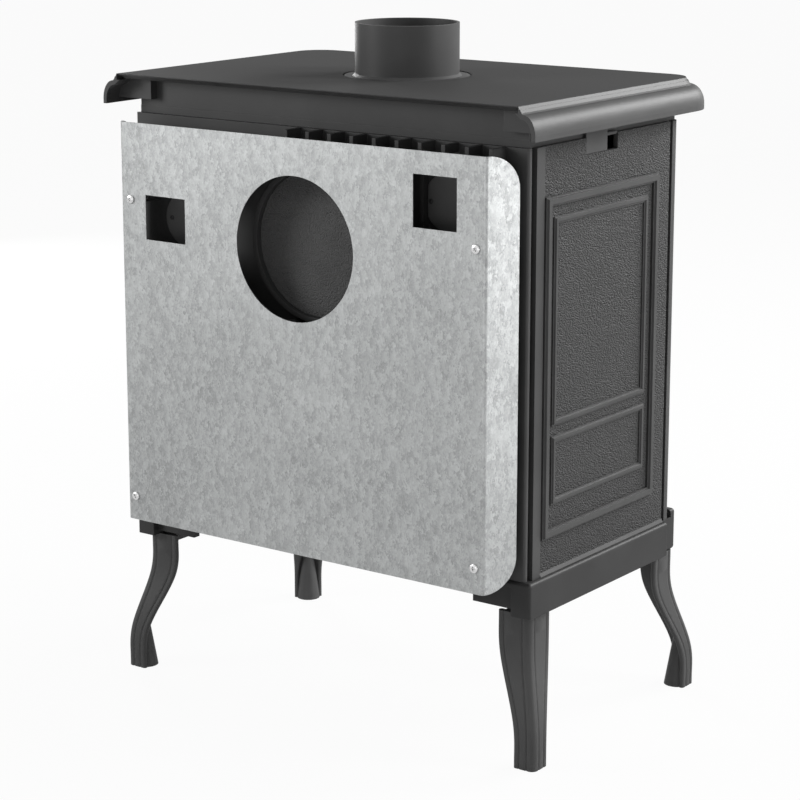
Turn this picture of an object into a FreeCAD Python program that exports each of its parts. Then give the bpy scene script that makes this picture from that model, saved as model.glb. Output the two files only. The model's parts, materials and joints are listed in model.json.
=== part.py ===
import FreeCAD, Part
import math
import os

# Cast iron wood stove, in millimetres. +Z is up, the door faces -Y, +X is to the right of the
# person who faces the door. The origin is on the floor, in the middle of the overall box.

V = FreeCAD.Vector

# Heights, one on top of the other from the floor
leg_height = 210.5
base_height = 50.0
top_frame_height = 10.5
top_casting_height = 48.2
spigot_rise = 74.8

# Depths, one in front of the other from the back
screw_head_height = 3.0
screw_head_rim = 1.0
shield_gauge = 1.0
shield_standoff = 62.0
body_depth = 389.0
cornice_front_overhang = 67.4

# Body shell
body_width = 685.2
panel_wall = 7.0
rear_wall_thickness = 6.0
rear_wall_inset = 1.6
rear_corner_radius = 4.0
corner_groove = 8.0
front_plate_thickness = 10.0
front_return = 21.0
front_corner_radius = 15.0
front_gap = 7.0
tongue_thickness = 7.0
rear_tongue_reach = 32.0
front_tongue_reach = 22.0
seat_clearance = 0.6
running_gap = 0.3
pin_clearance = 0.05
bolt_clearance = 0.2

# Side panel relief; the frames are placed from the panel's rear edge and its foot
border_width = 19.0
border_rise = 1.5
foot_bead_rise = 3.0
foot_bead_height = 5.5
bead_step_width = 1.7
bead_slope = 1.3
outer_bead_width = 13.0
outer_bead_rise = 6.0
outer_bead_step = 3.0
inner_bead_width = 10.0
inner_bead_rise = 3.8
inner_bead_step = 1.6
outer_frame_rear = 21.5
outer_frame_length = 291.5
outer_frame_foot = 50.5
outer_frame_height = 468.5
inner_frame_rear = 43.5
inner_frame_length = 242.5
lower_frame_foot = 95.5
lower_frame_height = 96.0
upper_frame_foot = 205.5
upper_frame_height = 285.5

# Hook lug of the top frame, in a notch of each side panel
notch_length = 79.8
notch_centre_y = 17.7
lug_front_gap = 26.0
lug_drop = 22.0
lug_reach = 4.0
lug_pin_radius = 3.0
lug_pin_gap = 1.0

# Base frame and front rail
base_overhang = 10.0
base_rear_overhang = 4.0
base_corner_radius = 4.0
rail_wall = 12.0
rail_edge_radius = 5.0
base_ledge_thickness = 9.0
base_ledge_width = 50.0
rear_block_width = 31.0
rear_beam_recess = 8.0
rear_beam_length = 70.0
rear_beam_rise = 6.0
rear_beam_wall = 12.0
front_rail_inset = 9.6
front_rail_overhang = 14.0
front_rail_depth = 41.0
front_rail_lip = 11.5
front_rail_corner_radius = 6.0
front_rail_bullnose = 5.0
front_rail_pocket_half = 260.0
front_rail_wall = 11.0
boss_radius = 13.0
bottom_plate_thickness = 8.0

# Legs: an angle with rounded edges that sweeps out along its corner
leg_inset_side = 10.0
leg_inset_rear = 15.1
leg_inset_front = 4.6
leg_wing_top = 52.0
leg_wing_foot = 34.0
leg_wall = 8.0
leg_corner_radius = 9.0
leg_splay = 26.6
leg_bend_top = 176.0
leg_bend_foot = 36.0
leg_groove_place = 12.5
leg_edge_bead = 9.5
leg_groove_width = 3.0
leg_groove_depth = 1.3
heel_height = 85.0
heel_foot_radius = 18.5
heel_top_radius = 8.0
heel_foot_setback = 19.3
heel_top_setback = 9.0
leg_pad_thickness = 10.0
leg_pad_width = 44.0
leg_bolt_setback = 26.0
leg_bolt_radius = 5.0
leg_bolt_depth = 28.0
leg_bolt_head_radius = 8.0
leg_bolt_head_height = 6.0
tie_rod_radius = 4.0
tie_rod_depth = 15.0
tie_rod_head_radius = 7.0
tie_rod_head_height = 5.5
rail_bolt_radius = 4.0
rail_bolt_length = 26.0
rail_bolt_spacing = 400.0
rail_bolt_rise = 33.0
rail_bolt_head_radius = 6.5
rail_bolt_head_height = 5.0

# Top frame and top plate with its cornice
neck_inset = 5.7
neck_rear_inset = 6.6
neck_front_inset = 6.8
neck_ring_width = 37.0
plate_overhang = 2.8
plate_rear_overhang = 35.0
plate_thickness = 8.0
plate_rear_chamfer = 14.0
plate_edge_height = 1.0
cornice_reach = 26.6
cornice_drop = 44.6
cornice_corner_radius = 44.0
cornice_wall = 6.0
bead_fall = 4.2
bead_run = 2.2
bead_land = 1.0
cove_run = 2.1
cove_fall = 2.0
ovolo_fall = 27.2
skirt_wall = 8.0
skirt_front_inset = 26.0
web_rear_inset = 28.0
web_inner_half = 305.0
web_bottom_rise = 7.2

# Flue spigot
spigot_radius = 75.0
spigot_wall = 4.0
spigot_axis_offset = 4.0
spigot_flange_radius = 90.4
spigot_flange_thickness = 7.6
spigot_fillet = 3.5
flue_hole_radius = 92.2
flue_recess_depth = 8.6
flue_seat_radius = 104.0
flue_seat_thickness = 12.0
flue_seat_bore = 74.0
spigot_bolt_circle = 82.0
spigot_bolt_radius = 2.5
spigot_bolt_depth = 5.0
spigot_bolt_head_radius = 4.5
spigot_bolt_head_height = 4.0
spigot_bolt_count = 3

# Rear wall: fins, flue outlet and air inlets
fin_count = 10
fin_pitch = 37.8
fin_first_x = 37.8
fin_thickness = 6.0
fin_depth = 32.0
fin_foot = 45.0
outlet_drop = 158.4
outlet_radius = 80.0
rim_inner_radius = 104.0
rim_width = 7.0
rim_depth = 16.0
fin_clear_of_rim = 6.0
cover_thickness = 8.0
cover_clearance = 0.6
cover_bolt_radius = 4.0
cover_bolt_head_radius = 7.0
cover_bolt_head_height = 5.0
clamp_length = 200.0
clamp_width = 30.0
clamp_thickness = 8.0
air_cover_radius = 40.0
air_cover_thickness = 4.0
air_hole_radius = 22.0
air_left_x = -216.7
air_left_drop = 81.6
air_right_x = 242.8
air_right_drop = 148.0
air_screw_spacing = 57.0
air_screw_radius = 2.5
air_screw_head_radius = 3.3
air_screw_head_height = 2.2
fin_clear_of_cover = 30.0
air_rib_x = -182.0
air_rib_thickness = 6.0
air_rib_depth = 13.2
air_rib_gap = 1.0

# Heat shield
shield_half_width = 315.4
shield_flange_run = 19.9
shield_flange_depth = 50.3
shield_foot_drop = 6.7
shield_head_drop = 5.3
shield_bend_radius = 7.0
shield_corner_radius = 46.0
shield_hole_radius = 101.5
window_left_x = -235.5
window_left_drop = 72.0
window_left_width = 70.3
window_left_height = 71.2
window_right_x = 232.8
window_right_drop = 139.7
window_right_width = 73.8
window_right_height = 64.4
shield_screw_low_half = 301.3
shield_screw_low = 29.1
shield_screw_left_x = -301.0
shield_screw_left_drop = 126.5
shield_screw_right_x = 298.0
shield_screw_right_drop = 116.0
shield_screw_radius = 2.9
shield_screw_head_radius = 6.5
shield_screw_depth = 12.0
spacer_radius = 7.0
spacer_length = 28.0
shield_boss_radius = 8.0

# Firebox
floor_height = 191.5
floor_thickness = 12.0
floor_ledge_reach = 18.0
floor_ledge_thickness = 10.0
floor_rear_ledge_half = 250.0
grate_half_width = 104.0
grate_length = 214.0
grate_thickness = 8.0
grate_travel = 25.0
grate_ledge = 10.0
grate_slot_width = 8.0
grate_slot_pitch = 18.0
grate_slot_count = 10
grate_slot_half_length = 84.0
rod_radius = 5.0
rod_x = 270.0
rod_drop = 8.0
rod_arm_thickness = 6.0
rod_arm_width = 16.0
rod_lug_half = 14.0
rod_front_reach = 22.0
rod_knob_radius = 12.0
rod_knob_length = 22.0
liner_thickness = 24.0
liner_front_gap = 24.0
liner_rear_gap = 10.0
liner_rear_height = 148.0
liner_front_height = 238.0
rear_liner_half = 300.0
rear_liner_height = 146.0
baffle_thickness = 15.0
baffle_front_inset = 35.0
retainer_half_width = 200.0
retainer_height = 40.0
retainer_thickness = 10.0
retainer_setback = 18.0
retainer_edge_radius = 3.3

# Front frame openings, door and its hinge
seal_gap = 0.5
door_half_width = 245.0
door_height = 360.0
door_head_room = 35.5
door_lap_side = 30.0
door_lap_foot = 18.0
door_lap_head = 17.0
door_thickness = 16.0
door_edge_radius = 4.0
window_stile = 85.0
window_foot = 62.0
window_head = 62.0
rebate_width = 15.0
rebate_depth = 9.0
glass_thickness = 4.0
glass_edge_gap = 1.0
glass_gasket_width = 10.0
glass_gasket_thickness = 1.5
clip_length = 36.0
clip_width = 22.0
clip_thickness = 2.5
clip_overlap = 8.0
clip_screw_radius = 2.0
clip_screw_head_radius = 4.0
clip_screw_head_height = 2.4
clip_screw_depth = 6.0
clip_screw_run_out = 0.5
door_bead_inset = 12.0
window_bead_margin = 12.0
gasket_width = 9.0
gasket_groove_depth = 4.0
gasket_setback = 10.0
hinge_offset = 13.0
hinge_depth = 11.0
hinge_barrel_radius = 9.0
hinge_web_half = 7.2
hinge_arm_half = 6.3
hinge_pin_radius = 5.0
hinge_pin_head_radius = 7.5
hinge_pin_head_height = 3.0
hinge_lug_height = 28.0
hinge_low = 70.0
hinge_high = 260.0

# Door handle and latch
handle_setback = 48.0
handle_height = 180.0
spindle_radius = 6.0
hub_radius = 12.0
hub_length = 32.0
hub_edge_radius = 4.0
hub_neck_radius = 7.0
grip_length = 92.0
grip_radius = 10.0
grip_end_radius = 7.5
grip_crown = 7.0
grip_stub_radius = 5.0
grip_start = 16.0
cam_length = 32.0
cam_width = 16.0
cam_tip_width = 11.2
cam_thickness = 7.0
cam_gap = 0.8
nut_radius = 8.0
nut_thickness = 5.0

# Ash drawer with its air rosettes
runner_height = 16.2
runner_width = 15.0
runner_centre = 157.0
runner_length = 330.0
pan_half_width = 185.0
pan_length = 314.0
pan_height = 65.0
pan_sheet = 2.0
pan_setback = 4.8
drawer_front_half = 230.0
drawer_front_foot = 13.5
drawer_front_height = 172.0
drawer_door_gap = 6.0
drawer_lap_side = 30.0
drawer_lap_foot = 8.0
drawer_lap_head = 11.0
drawer_front_thickness = 12.0
drawer_bead_inset = 10.0
drawer_pad_half = 150.0
drawer_pad_foot = 10.0
drawer_pad_height = 40.0
drawer_screw_spacing = 200.0
drawer_screw_radius = 2.5
drawer_screw_head_radius = 4.5
drawer_screw_head_height = 2.5
drawer_screw_depth = 10.0
rosette_margin = 4.0
knob_radius = 14.0
knob_length = 30.0
knob_neck_radius = 6.0
knob_crown = 0.7
knob_swell = 0.5
knob_stud_radius = 4.0
knob_stud_length = 9.0
rosette_spacing = 240.0
rosette_radius = 34.0
rosette_thickness = 5.0
rosette_hole_radius = 8.0
rosette_hole_circle = 23.0
rosette_hole_count = 4
rosette_tab_radius = 4.0
rosette_tab_height = 12.0
rosette_tab_inset = 1.0
rosette_pin_radius = 4.0
rosette_pin_head_radius = 8.0
rosette_pin_head_height = 4.0

# Air slide over the door
slide_half_length = 110.0
slide_height = 20.0
slide_thickness = 3.0
slide_rise = 16.5
slide_slot_length = 28.0
slide_slot_height = 8.0
slide_slot_pitch = 60.0
slide_slot_count = 3
guide_height = 4.0
guide_lip = 2.2
guide_lip_thickness = 2.4
guide_half_length = 165.0
slide_knob_radius = 8.0
slide_knob_length = 22.0
slide_knob_neck = 4.0

# Levels and planes that several pieces share
z_base = leg_height
z_body = z_base + base_height
z_drawer_foot = z_body + drawer_front_foot
z_drawer_head = z_drawer_foot + drawer_front_height
z_door_foot = z_drawer_head + drawer_door_gap
z_door_head = z_door_foot + door_height
z_neck = z_door_head + door_head_room
z_seat = z_neck + top_frame_height
z_top = z_seat + top_casting_height
z_spigot = z_top + spigot_rise
half_body = body_width / 2
half_inside = half_body - panel_wall
half_clear = half_inside - tongue_thickness - seat_clearance
half_base = half_body + base_overhang
half_rail = half_base - front_rail_inset
half_neck = half_body - neck_inset
half_plate = half_body + plate_overhang
overall_depth = screw_head_height + shield_gauge + shield_standoff + body_depth + cornice_front_overhang
y_back = overall_depth / 2 - screw_head_height - shield_gauge - shield_standoff
y_front = y_back - body_depth
y_back_inside = y_back - rear_wall_thickness
y_front_inside = y_front + front_plate_thickness
y_shield = y_back + shield_standoff
y_panel_rear = y_back_inside - corner_groove
y_panel_front = y_front + front_return + front_gap
y_rear_tongue = y_panel_rear - rear_tongue_reach
y_front_tongue = y_panel_front + front_tongue_reach
y_base_rear = y_back + base_rear_overhang
y_rail_front = y_front - front_rail_overhang
y_rail_rear = y_rail_front + front_rail_depth
y_door = y_front - seal_gap
z_plate_under = z_top - plate_thickness
z_flue_seat = z_top - flue_recess_depth
y_plate_rear = y_back + plate_rear_overhang
y_plate_front = y_front - cornice_front_overhang + cornice_reach
y_neck_rear = y_back - neck_rear_inset
y_neck_front = y_front + neck_front_inset
y_flue = (y_plate_rear + y_plate_front) / 2 - spigot_axis_offset
z_outlet = z_neck - outlet_drop
z_ledge = z_body + floor_height - floor_thickness
z_floor = z_body + floor_height
leg_x = half_base - leg_inset_side
leg_rear_y = y_base_rear - leg_inset_rear
leg_front_y = y_rail_front + leg_inset_front
tie_x = leg_x - leg_bolt_setback
tie_rear_y = leg_rear_y - leg_bolt_setback
tie_front_y = leg_front_y + leg_bolt_setback
tie_places = [(sx * tie_x, y) for sx in (1, -1) for y in (tie_rear_y, tie_front_y)]


def block(x0, x1, y0, y1, z0, z1):
    return Part.makeBox(x1 - x0, y1 - y0, z1 - z0, V(x0, y0, z0))


def rod(radius, start, end):
    a = V(*start)
    b = V(*end)
    return Part.makeCylinder(radius, (b - a).Length, a, b - a)


def face_of(points):
    corners = [V(*p) for p in points]
    return Part.Face(Part.makePolygon(corners + corners[:1]))


def prism(points, along):
    return face_of(points).extrude(V(*along))


def fuse(shapes):
    return shapes[0].fuse(shapes[1:]).removeSplitter()


def group(shapes):
    return Part.makeCompound(shapes)


def mirrored(shape):
    return shape.mirror(V(0, 0, 0), V(1, 0, 0))


def vertical_edges(shape, x, y, reach=0.01):
    """Upright straight edges that stand at one place in plan."""
    found = []
    for edge in shape.Edges:
        ends = [v.Point for v in edge.Vertexes]
        if len(ends) == 2 and all(abs(p.x - x) < reach and abs(p.y - y) < reach for p in ends):
            found.append(edge)
    return found


def headed_pin(radius, head_radius, head_height, tip, seat, outward):
    """A pin from its tip to the seat of its head, with a round head that stands outward."""
    head_end = V(*seat) + V(*outward) * head_height
    return fuse([rod(radius, tip, seat), rod(head_radius, seat, tuple(head_end))])


def on_front(shape, y):
    """Turns a relief drawn flat (X right, Y up, Z out) onto an upright face that looks to -Y."""
    turned = shape.copy()
    turned.Placement = FreeCAD.Placement(V(0, y, 0), FreeCAD.Rotation(V(1, 0, 0), 90))
    return turned


def on_right_side(shape, x):
    """Turns a relief drawn flat (X along +Y, Y up, Z out) onto an upright face that looks to +X."""
    turned = shape.copy()
    turned.Placement = FreeCAD.Placement(V(x, 0, 0), FreeCAD.Rotation(V(1, 1, 1), 120))
    return turned


def rectangle(u0, u1, v0, v1, w):
    return Part.makePolygon([V(u0, v0, w), V(u1, v0, w), V(u1, v1, w), V(u0, v1, w), V(u0, v0, w)])


def tapered(u0, u1, v0, v1, foot, top, draft):
    """A flat-topped block whose sides lean in by the draft, or out where it is negative."""
    low = rectangle(u0, u1, v0, v1, foot)
    high = rectangle(u0 + draft, u1 - draft, v0 + draft, v1 - draft, top)
    return Part.makeLoft([low, high], True, True)


def bead_frame(u0, u1, v0, v1, width, rise, step):
    """A picture-frame moulding on a flat ground: a low step each side and a sloped ridge between."""
    low = block(u0, u1, v0, v1, -step, step)
    inside = block(u0 + width, u1 - width, v0 + width, v1 - width, -step, step)
    e = bead_step_width
    ridge = tapered(u0 + e, u1 - e, v0 + e, v1 - e, step, rise, bead_slope)
    i = width - bead_step_width
    hollow = tapered(u0 + i, u1 - i, v0 + i, v1 - i, step, rise, -bead_slope)
    return low.cut(inside).fuse(ridge.cut(hollow)).removeSplitter()


def outer_bead(u0, u1, v0, v1):
    return bead_frame(u0, u1, v0, v1, outer_bead_width, outer_bead_rise, outer_bead_step)


def inner_bead(u0, u1, v0, v1):
    return bead_frame(u0, u1, v0, v1, inner_bead_width, inner_bead_rise, inner_bead_step)


def leg():
    """One leg with its sharp outer corner at the origin in plan, which points to +X +Y."""
    levels = [0, leg_bend_foot / 2, leg_bend_foot]
    steps = 6
    for k in range(1, steps):
        levels.append(leg_bend_foot + (leg_bend_top - leg_bend_foot) * k / steps)
    levels += [leg_bend_top, (leg_bend_top + leg_height) / 2, leg_height]
    wings = Part.makeLoft([leg_section(z) for z in levels], True, False)
    foot = leg_offset(0) - heel_foot_setback
    top = leg_offset(heel_height) - heel_top_setback
    up = V(0, 0, 1)
    low_ring = Part.Wire(Part.makeCircle(heel_foot_radius, V(foot, foot, 0), up))
    high_ring = Part.Wire(Part.makeCircle(heel_top_radius, V(top, top, heel_height), up))
    heel = Part.makeLoft([low_ring, high_ring], True, True)
    inner = -leg_wall / 2
    pad = block(-leg_pad_width, inner, -leg_pad_width, inner, leg_height - leg_pad_thickness, leg_height)
    bolt = -leg_bolt_setback
    hole = rod(leg_bolt_radius + bolt_clearance, (bolt, bolt, 0), (bolt, bolt, leg_height + 1))
    pad = pad.cut(hole)
    return wings.fuse([heel, pad])


def leg_offset(z):
    """How far the corner has moved out, the same in X and Y: an S from the straight top to the foot."""
    t = (leg_bend_top - z) / (leg_bend_top - leg_bend_foot)
    t = min(1.0, max(0.0, t))
    return leg_splay * t * t * (3 - 2 * t)


def leg_section(z):
    """One level of the angle: a round outer corner, two grooves on each outer face, round free edges."""
    a = leg_offset(z)
    w = leg_wing_top - (leg_wing_top - leg_wing_foot) * a / leg_splay
    t = leg_wall
    r = leg_corner_radius
    h = leg_groove_width / 2
    bulge = r * (1 - math.sqrt(0.5))
    edge = w - t / 2
    outer = [(edge, 0)]
    for place in (w - leg_edge_bead, leg_groove_place):
        outer += [(place + h, 0), (place, leg_groove_depth), (place - h, 0)]
    outer.append((r, 0))
    rear_face = [V(a - u, a - v, z) for u, v in outer]
    side_face = [V(a - v, a - u, z) for u, v in reversed(outer)]

    def p(u, v):
        return V(a - u, a - v, z)

    edges = [Part.makeLine(start, end) for start, end in zip(rear_face, rear_face[1:])]
    edges.append(Part.Arc(p(r, 0), p(bulge, bulge), p(0, r)).toShape())
    edges += [Part.makeLine(start, end) for start, end in zip(side_face, side_face[1:])]
    edges.append(Part.Arc(p(0, edge), p(t / 2, w), p(t, edge)).toShape())
    edges.append(Part.makeLine(p(t, edge), p(t, t)))
    edges.append(Part.makeLine(p(t, t), p(edge, t)))
    edges.append(Part.Arc(p(edge, t), p(w, t / 2), p(edge, 0)).toShape())
    return Part.Wire(edges)


def legs():
    rear_right = leg()
    front_right = rear_right.mirror(V(0, 0, 0), V(0, 1, 0))
    rear_right.translate(V(leg_x, leg_rear_y, 0))
    front_right.translate(V(leg_x, leg_front_y, 0))
    return {
        "leg_rear_right": rear_right,
        "leg_rear_left": mirrored(rear_right),
        "leg_front_right": front_right,
        "leg_front_left": mirrored(front_right),
    }


def leg_bolts():
    z_pad = leg_height - leg_pad_thickness
    return group([
        headed_pin(leg_bolt_radius, leg_bolt_head_radius, leg_bolt_head_height,
                   (x, y, z_base + leg_bolt_depth), (x, y, z_pad), (0, 0, -1))
        for x, y in tie_places
    ])


def leg_and_tie_holes(x, y):
    """The leg bolt comes from below and the tie rod from above, on one axis."""
    low = rod(leg_bolt_radius + bolt_clearance, (x, y, z_base - 1), (x, y, z_base + leg_bolt_depth + 1))
    high = rod(tie_rod_radius + bolt_clearance, (x, y, z_body - tie_rod_depth - 1), (x, y, z_body + 1))
    return [low, high]


def base_frame():
    y0 = y_rail_rear
    y1 = y_base_rear
    z_ledge_under = z_body - base_ledge_thickness
    ring = block(-half_base, half_base, y0, y1, z_base, z_body)
    for sx in (1, -1):
        ring = ring.makeFillet(base_corner_radius, vertical_edges(ring, sx * half_base, y1))
    top_edges = []
    for edge in ring.Edges:
        box = edge.BoundBox
        if box.ZMin > z_body - 0.01 and abs(box.Center.x) > half_base - 0.01:
            top_edges.append(edge)
    ring = ring.makeFillet(rail_edge_radius, top_edges)
    inner = half_base - rail_wall
    opening = half_base - base_ledge_width
    block_inner = half_base - rear_block_width
    y_beam = y_back - rear_beam_recess
    pocket = block(-inner, inner, y0 + rail_wall, y_beam - rear_beam_wall, z_base - 1, z_ledge_under)
    hole = block(-opening, opening, y0 + base_ledge_width / 2, y1 - base_ledge_width, z_base - 1, z_body + 1)
    behind = block(-block_inner, block_inner, y_beam, y1 + 1, z_base - 1, z_ledge_under)
    y_beam_front = y_beam - rear_beam_wall - 1
    under = block(-block_inner, block_inner, y_beam_front, y1, z_base - 1, z_base + rear_beam_rise)
    middle_half = block_inner - rear_beam_length
    middle = block(-middle_half, middle_half, y_beam_front, y1, z_base - 1, z_ledge_under)
    ring = ring.cut([pocket, hole, behind, under, middle])
    for sx in (1, -1):
        x = sx * tie_x
        boss = rod(boss_radius, (x, tie_rear_y, z_base), (x, tie_rear_y, z_ledge_under))
        ring = ring.fuse(boss).cut(leg_and_tie_holes(x, tie_rear_y))
        x = sx * rail_bolt_spacing / 2
        z = z_base + rail_bolt_rise
        ring = ring.cut(rod(rail_bolt_radius + bolt_clearance, (x, y0 - 1, z), (x, y0 + rail_wall + 1, z)))
    return ring.removeSplitter()


def front_rail():
    z_lip = z_body + front_rail_lip
    rail = block(-half_rail, half_rail, y_rail_front, y_rail_rear, z_base, z_lip)
    for sx in (1, -1):
        rail = rail.makeFillet(front_rail_corner_radius, vertical_edges(rail, sx * half_rail, y_rail_front))
    nose = []
    for edge in rail.Edges:
        box = edge.BoundBox
        flat = box.ZLength < 0.01
        if flat and box.YMin < y_rail_front + front_rail_corner_radius - 0.1 and box.YMax < y_rail_rear - 0.1:
            nose.append(edge)
    rail = rail.makeFillet(front_rail_bullnose, nose)
    rebate = block(-half_base, half_base, y_front, y_rail_rear + 1, z_body, z_lip + 1)
    p = front_rail_pocket_half
    w = front_rail_wall
    pocket = block(-p, p, y_rail_front + w, y_rail_rear - w, z_base - 1, z_body - w)
    rail = rail.cut([rebate, pocket])
    for sx in (1, -1):
        rail = rail.cut(leg_and_tie_holes(sx * tie_x, tie_front_y))
        x = sx * rail_bolt_spacing / 2
        z = z_base + rail_bolt_rise
        inner = y_rail_rear - w - 1
        rail = rail.cut(rod(rail_bolt_radius + bolt_clearance, (x, inner, z), (x, y_rail_rear + 1, z)))
    return rail


def front_rail_bolts():
    y_seat = y_rail_rear + rail_wall
    z = z_base + rail_bolt_rise
    return group([
        headed_pin(rail_bolt_radius, rail_bolt_head_radius, rail_bolt_head_height,
                   (x, y_seat - rail_bolt_length, z), (x, y_seat, z), (0, 1, 0))
        for x in (rail_bolt_spacing / 2, -rail_bolt_spacing / 2)
    ])


def bottom_plate():
    y0 = y_front_inside + seat_clearance
    y1 = y_back_inside - seat_clearance
    plate = block(-half_clear, half_clear, y0, y1, z_body, z_body + bottom_plate_thickness)
    return plate.cut(tie_rod_holes())


def tie_rod_holes():
    return [rod(tie_rod_radius + bolt_clearance, (x, y, z_base), (x, y, z_top)) for x, y in tie_places]


def tie_rods():
    return group([
        headed_pin(tie_rod_radius, tie_rod_head_radius, tie_rod_head_height,
                   (x, y, z_body - tie_rod_depth), (x, y, z_seat), (0, 0, 1))
        for x, y in tie_places
    ])


def side_panel_right():
    panel = block(half_inside, half_body, y_panel_front, y_panel_rear, z_body, z_neck)
    border = block(half_body - border_rise, half_body + border_rise, y_panel_rear - border_width,
                   y_panel_rear, z_body, z_neck)
    foot_bead = prism([(half_body, y_panel_front, z_body),
                       (half_body + foot_bead_rise, y_panel_front, z_body),
                       (half_body, y_panel_front, z_body + foot_bead_height)],
                      (0, y_panel_rear - border_width - y_panel_front, 0))
    reliefs = [border, foot_bead]
    frames = [
        (outer_bead, outer_frame_rear, outer_frame_length, outer_frame_foot, outer_frame_height),
        (inner_bead, inner_frame_rear, inner_frame_length, lower_frame_foot, lower_frame_height),
        (inner_bead, inner_frame_rear, inner_frame_length, upper_frame_foot, upper_frame_height),
    ]
    for bead, rear, length, foot, height in frames:
        y1 = y_panel_rear - rear
        z0 = z_body + foot
        flat = bead(y1 - length, y1, z0, z0 + height)
        reliefs.append(on_right_side(flat, half_body))
    ledge = block(half_inside - floor_ledge_reach, half_inside, y_front_tongue + seat_clearance,
                  y_rear_tongue - seat_clearance, z_ledge - floor_ledge_thickness, z_ledge)
    half_notch = notch_length / 2 + seat_clearance
    notch = block(half_inside - 1, half_body + 1, notch_centre_y - half_notch, notch_centre_y + half_notch,
                  z_neck - lug_drop - seat_clearance, z_neck + 1)
    return panel.fuse(reliefs + [ledge]).cut(notch).removeSplitter()


def rear_wall():
    half = half_body - rear_wall_inset
    wall = block(-half, half, y_back_inside, y_back, z_body, z_neck)
    for sx in (1, -1):
        wall = wall.makeFillet(rear_corner_radius, vertical_edges(wall, sx * half, y_back))
    added = []
    for sx in (1, -1):
        x = sorted((sx * half_inside, sx * (half_inside - tongue_thickness)))
        added.append(block(x[0], x[1], y_rear_tongue, y_back_inside, z_body, z_neck))
    y_ledge = y_back_inside - floor_ledge_reach
    added.append(block(-floor_rear_ledge_half, floor_rear_ledge_half, y_ledge, y_back_inside,
                       z_ledge - floor_ledge_thickness, z_ledge))
    rim_outer = rim_inner_radius + rim_width
    y_fin = y_back + fin_depth + 1
    keep_clear = [rod(rim_outer + fin_clear_of_rim, (0, y_back, z_outlet), (0, y_fin, z_outlet))]
    clear = air_cover_radius + fin_clear_of_cover
    for x, z in air_places():
        keep_clear.append(rod(clear, (x, y_back, z), (x, y_fin, z)))
    fins = []
    for k in range(fin_count):
        x = fin_first_x - k * fin_pitch
        fins.append(block(x - fin_thickness / 2, x + fin_thickness / 2, y_back, y_back + fin_depth,
                          z_body + fin_foot, z_neck))
    added += [fin.cut(keep_clear) for fin in fins]
    added.append(air_rib(0))
    y_boss = y_shield - spacer_length
    for x, z in shield_screw_places():
        added.append(rod(shield_boss_radius, (x, y_back_inside, z), (x, y_boss, z)))
    rim = rod(rim_outer, (0, y_back, z_outlet), (0, y_back + rim_depth, z_outlet))
    rim = rim.cut(rod(rim_inner_radius, (0, y_back - 1, z_outlet), (0, y_back + rim_depth + 1, z_outlet)))
    wall = wall.fuse(added + [rim])
    holes = [rod(outlet_radius, (0, y_back_inside - 1, z_outlet), (0, y_back + 1, z_outlet))]
    for x, z in air_places():
        holes.append(rod(air_hole_radius, (x, y_back_inside - 1, z), (x, y_back + 1, z)))
    for x, z in air_screw_places():
        holes.append(rod(air_screw_radius + bolt_clearance, (x, y_back_inside - 1, z), (x, y_back + 1, z)))
    for x, z in shield_screw_places():
        y_tip = y_boss - shield_screw_depth - 1
        holes.append(rod(shield_screw_radius + bolt_clearance, (x, y_tip, z), (x, y_boss + 1, z)))
    return wall.cut(holes).removeSplitter()


def air_places():
    return [(air_left_x, z_neck - air_left_drop), (air_right_x, z_neck - air_right_drop)]


def air_screw_places():
    half = air_screw_spacing / 2
    return [(x + side * half, z) for x, z in air_places() for side in (1, -1)]


def shield_screw_places():
    return [
        (shield_screw_low_half, z_body + shield_screw_low),
        (-shield_screw_low_half, z_body + shield_screw_low),
        (shield_screw_left_x, z_neck - shield_screw_left_drop),
        (shield_screw_right_x, z_neck - shield_screw_right_drop),
    ]


def air_rib(grow):
    """The short rib beside the left air inlet, grown towards the inlet by a gap."""
    z = z_neck - air_left_drop
    half = air_cover_radius + fin_clear_of_cover
    x1 = air_rib_x + air_rib_thickness
    return block(air_rib_x - grow, x1, y_back, y_back + air_rib_depth, z - half, z + half)


def air_cover(place):
    x, z = place
    disc = rod(air_cover_radius, (x, y_back, z), (x, y_back + air_cover_thickness, z))
    holes = [air_rib(air_rib_gap)]
    for side in (1, -1):
        hx = x + side * air_screw_spacing / 2
        holes.append(rod(air_screw_radius + bolt_clearance, (hx, y_back - 1, z),
                         (hx, y_back + air_cover_thickness + 1, z)))
    return disc.cut(holes)


def air_cover_screws():
    y_seat = y_back + air_cover_thickness
    return group([
        headed_pin(air_screw_radius, air_screw_head_radius, air_screw_head_height,
                   (x, y_back_inside, z), (x, y_seat, z), (0, 1, 0))
        for x, z in air_screw_places()
    ])


def rear_flue_cover():
    radius = rim_inner_radius - cover_clearance
    disc = rod(radius, (0, y_back, z_outlet), (0, y_back + cover_thickness, z_outlet))
    plug = rod(outlet_radius - cover_clearance, (0, y_back_inside, z_outlet), (0, y_back, z_outlet))
    hole = rod(cover_bolt_radius + bolt_clearance, (0, y_back_inside - 1, z_outlet),
               (0, y_back + cover_thickness / 2, z_outlet))
    return disc.fuse(plug).cut(hole)


def flue_cover_bar():
    half = clamp_length / 2
    w = clamp_width / 2
    y0 = y_back_inside - clamp_thickness
    bar = block(-half, half, y0, y_back_inside, z_outlet - w, z_outlet + w)
    return bar.cut(rod(cover_bolt_radius + bolt_clearance, (0, y0 - 1, z_outlet), (0, y_back, z_outlet)))


def flue_cover_bolt():
    y_seat = y_back_inside - clamp_thickness
    tip = y_back + cover_thickness / 2 - bolt_clearance
    return headed_pin(cover_bolt_radius, cover_bolt_head_radius, cover_bolt_head_height,
                      (0, tip, z_outlet), (0, y_seat, z_outlet), (0, -1, 0))


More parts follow.
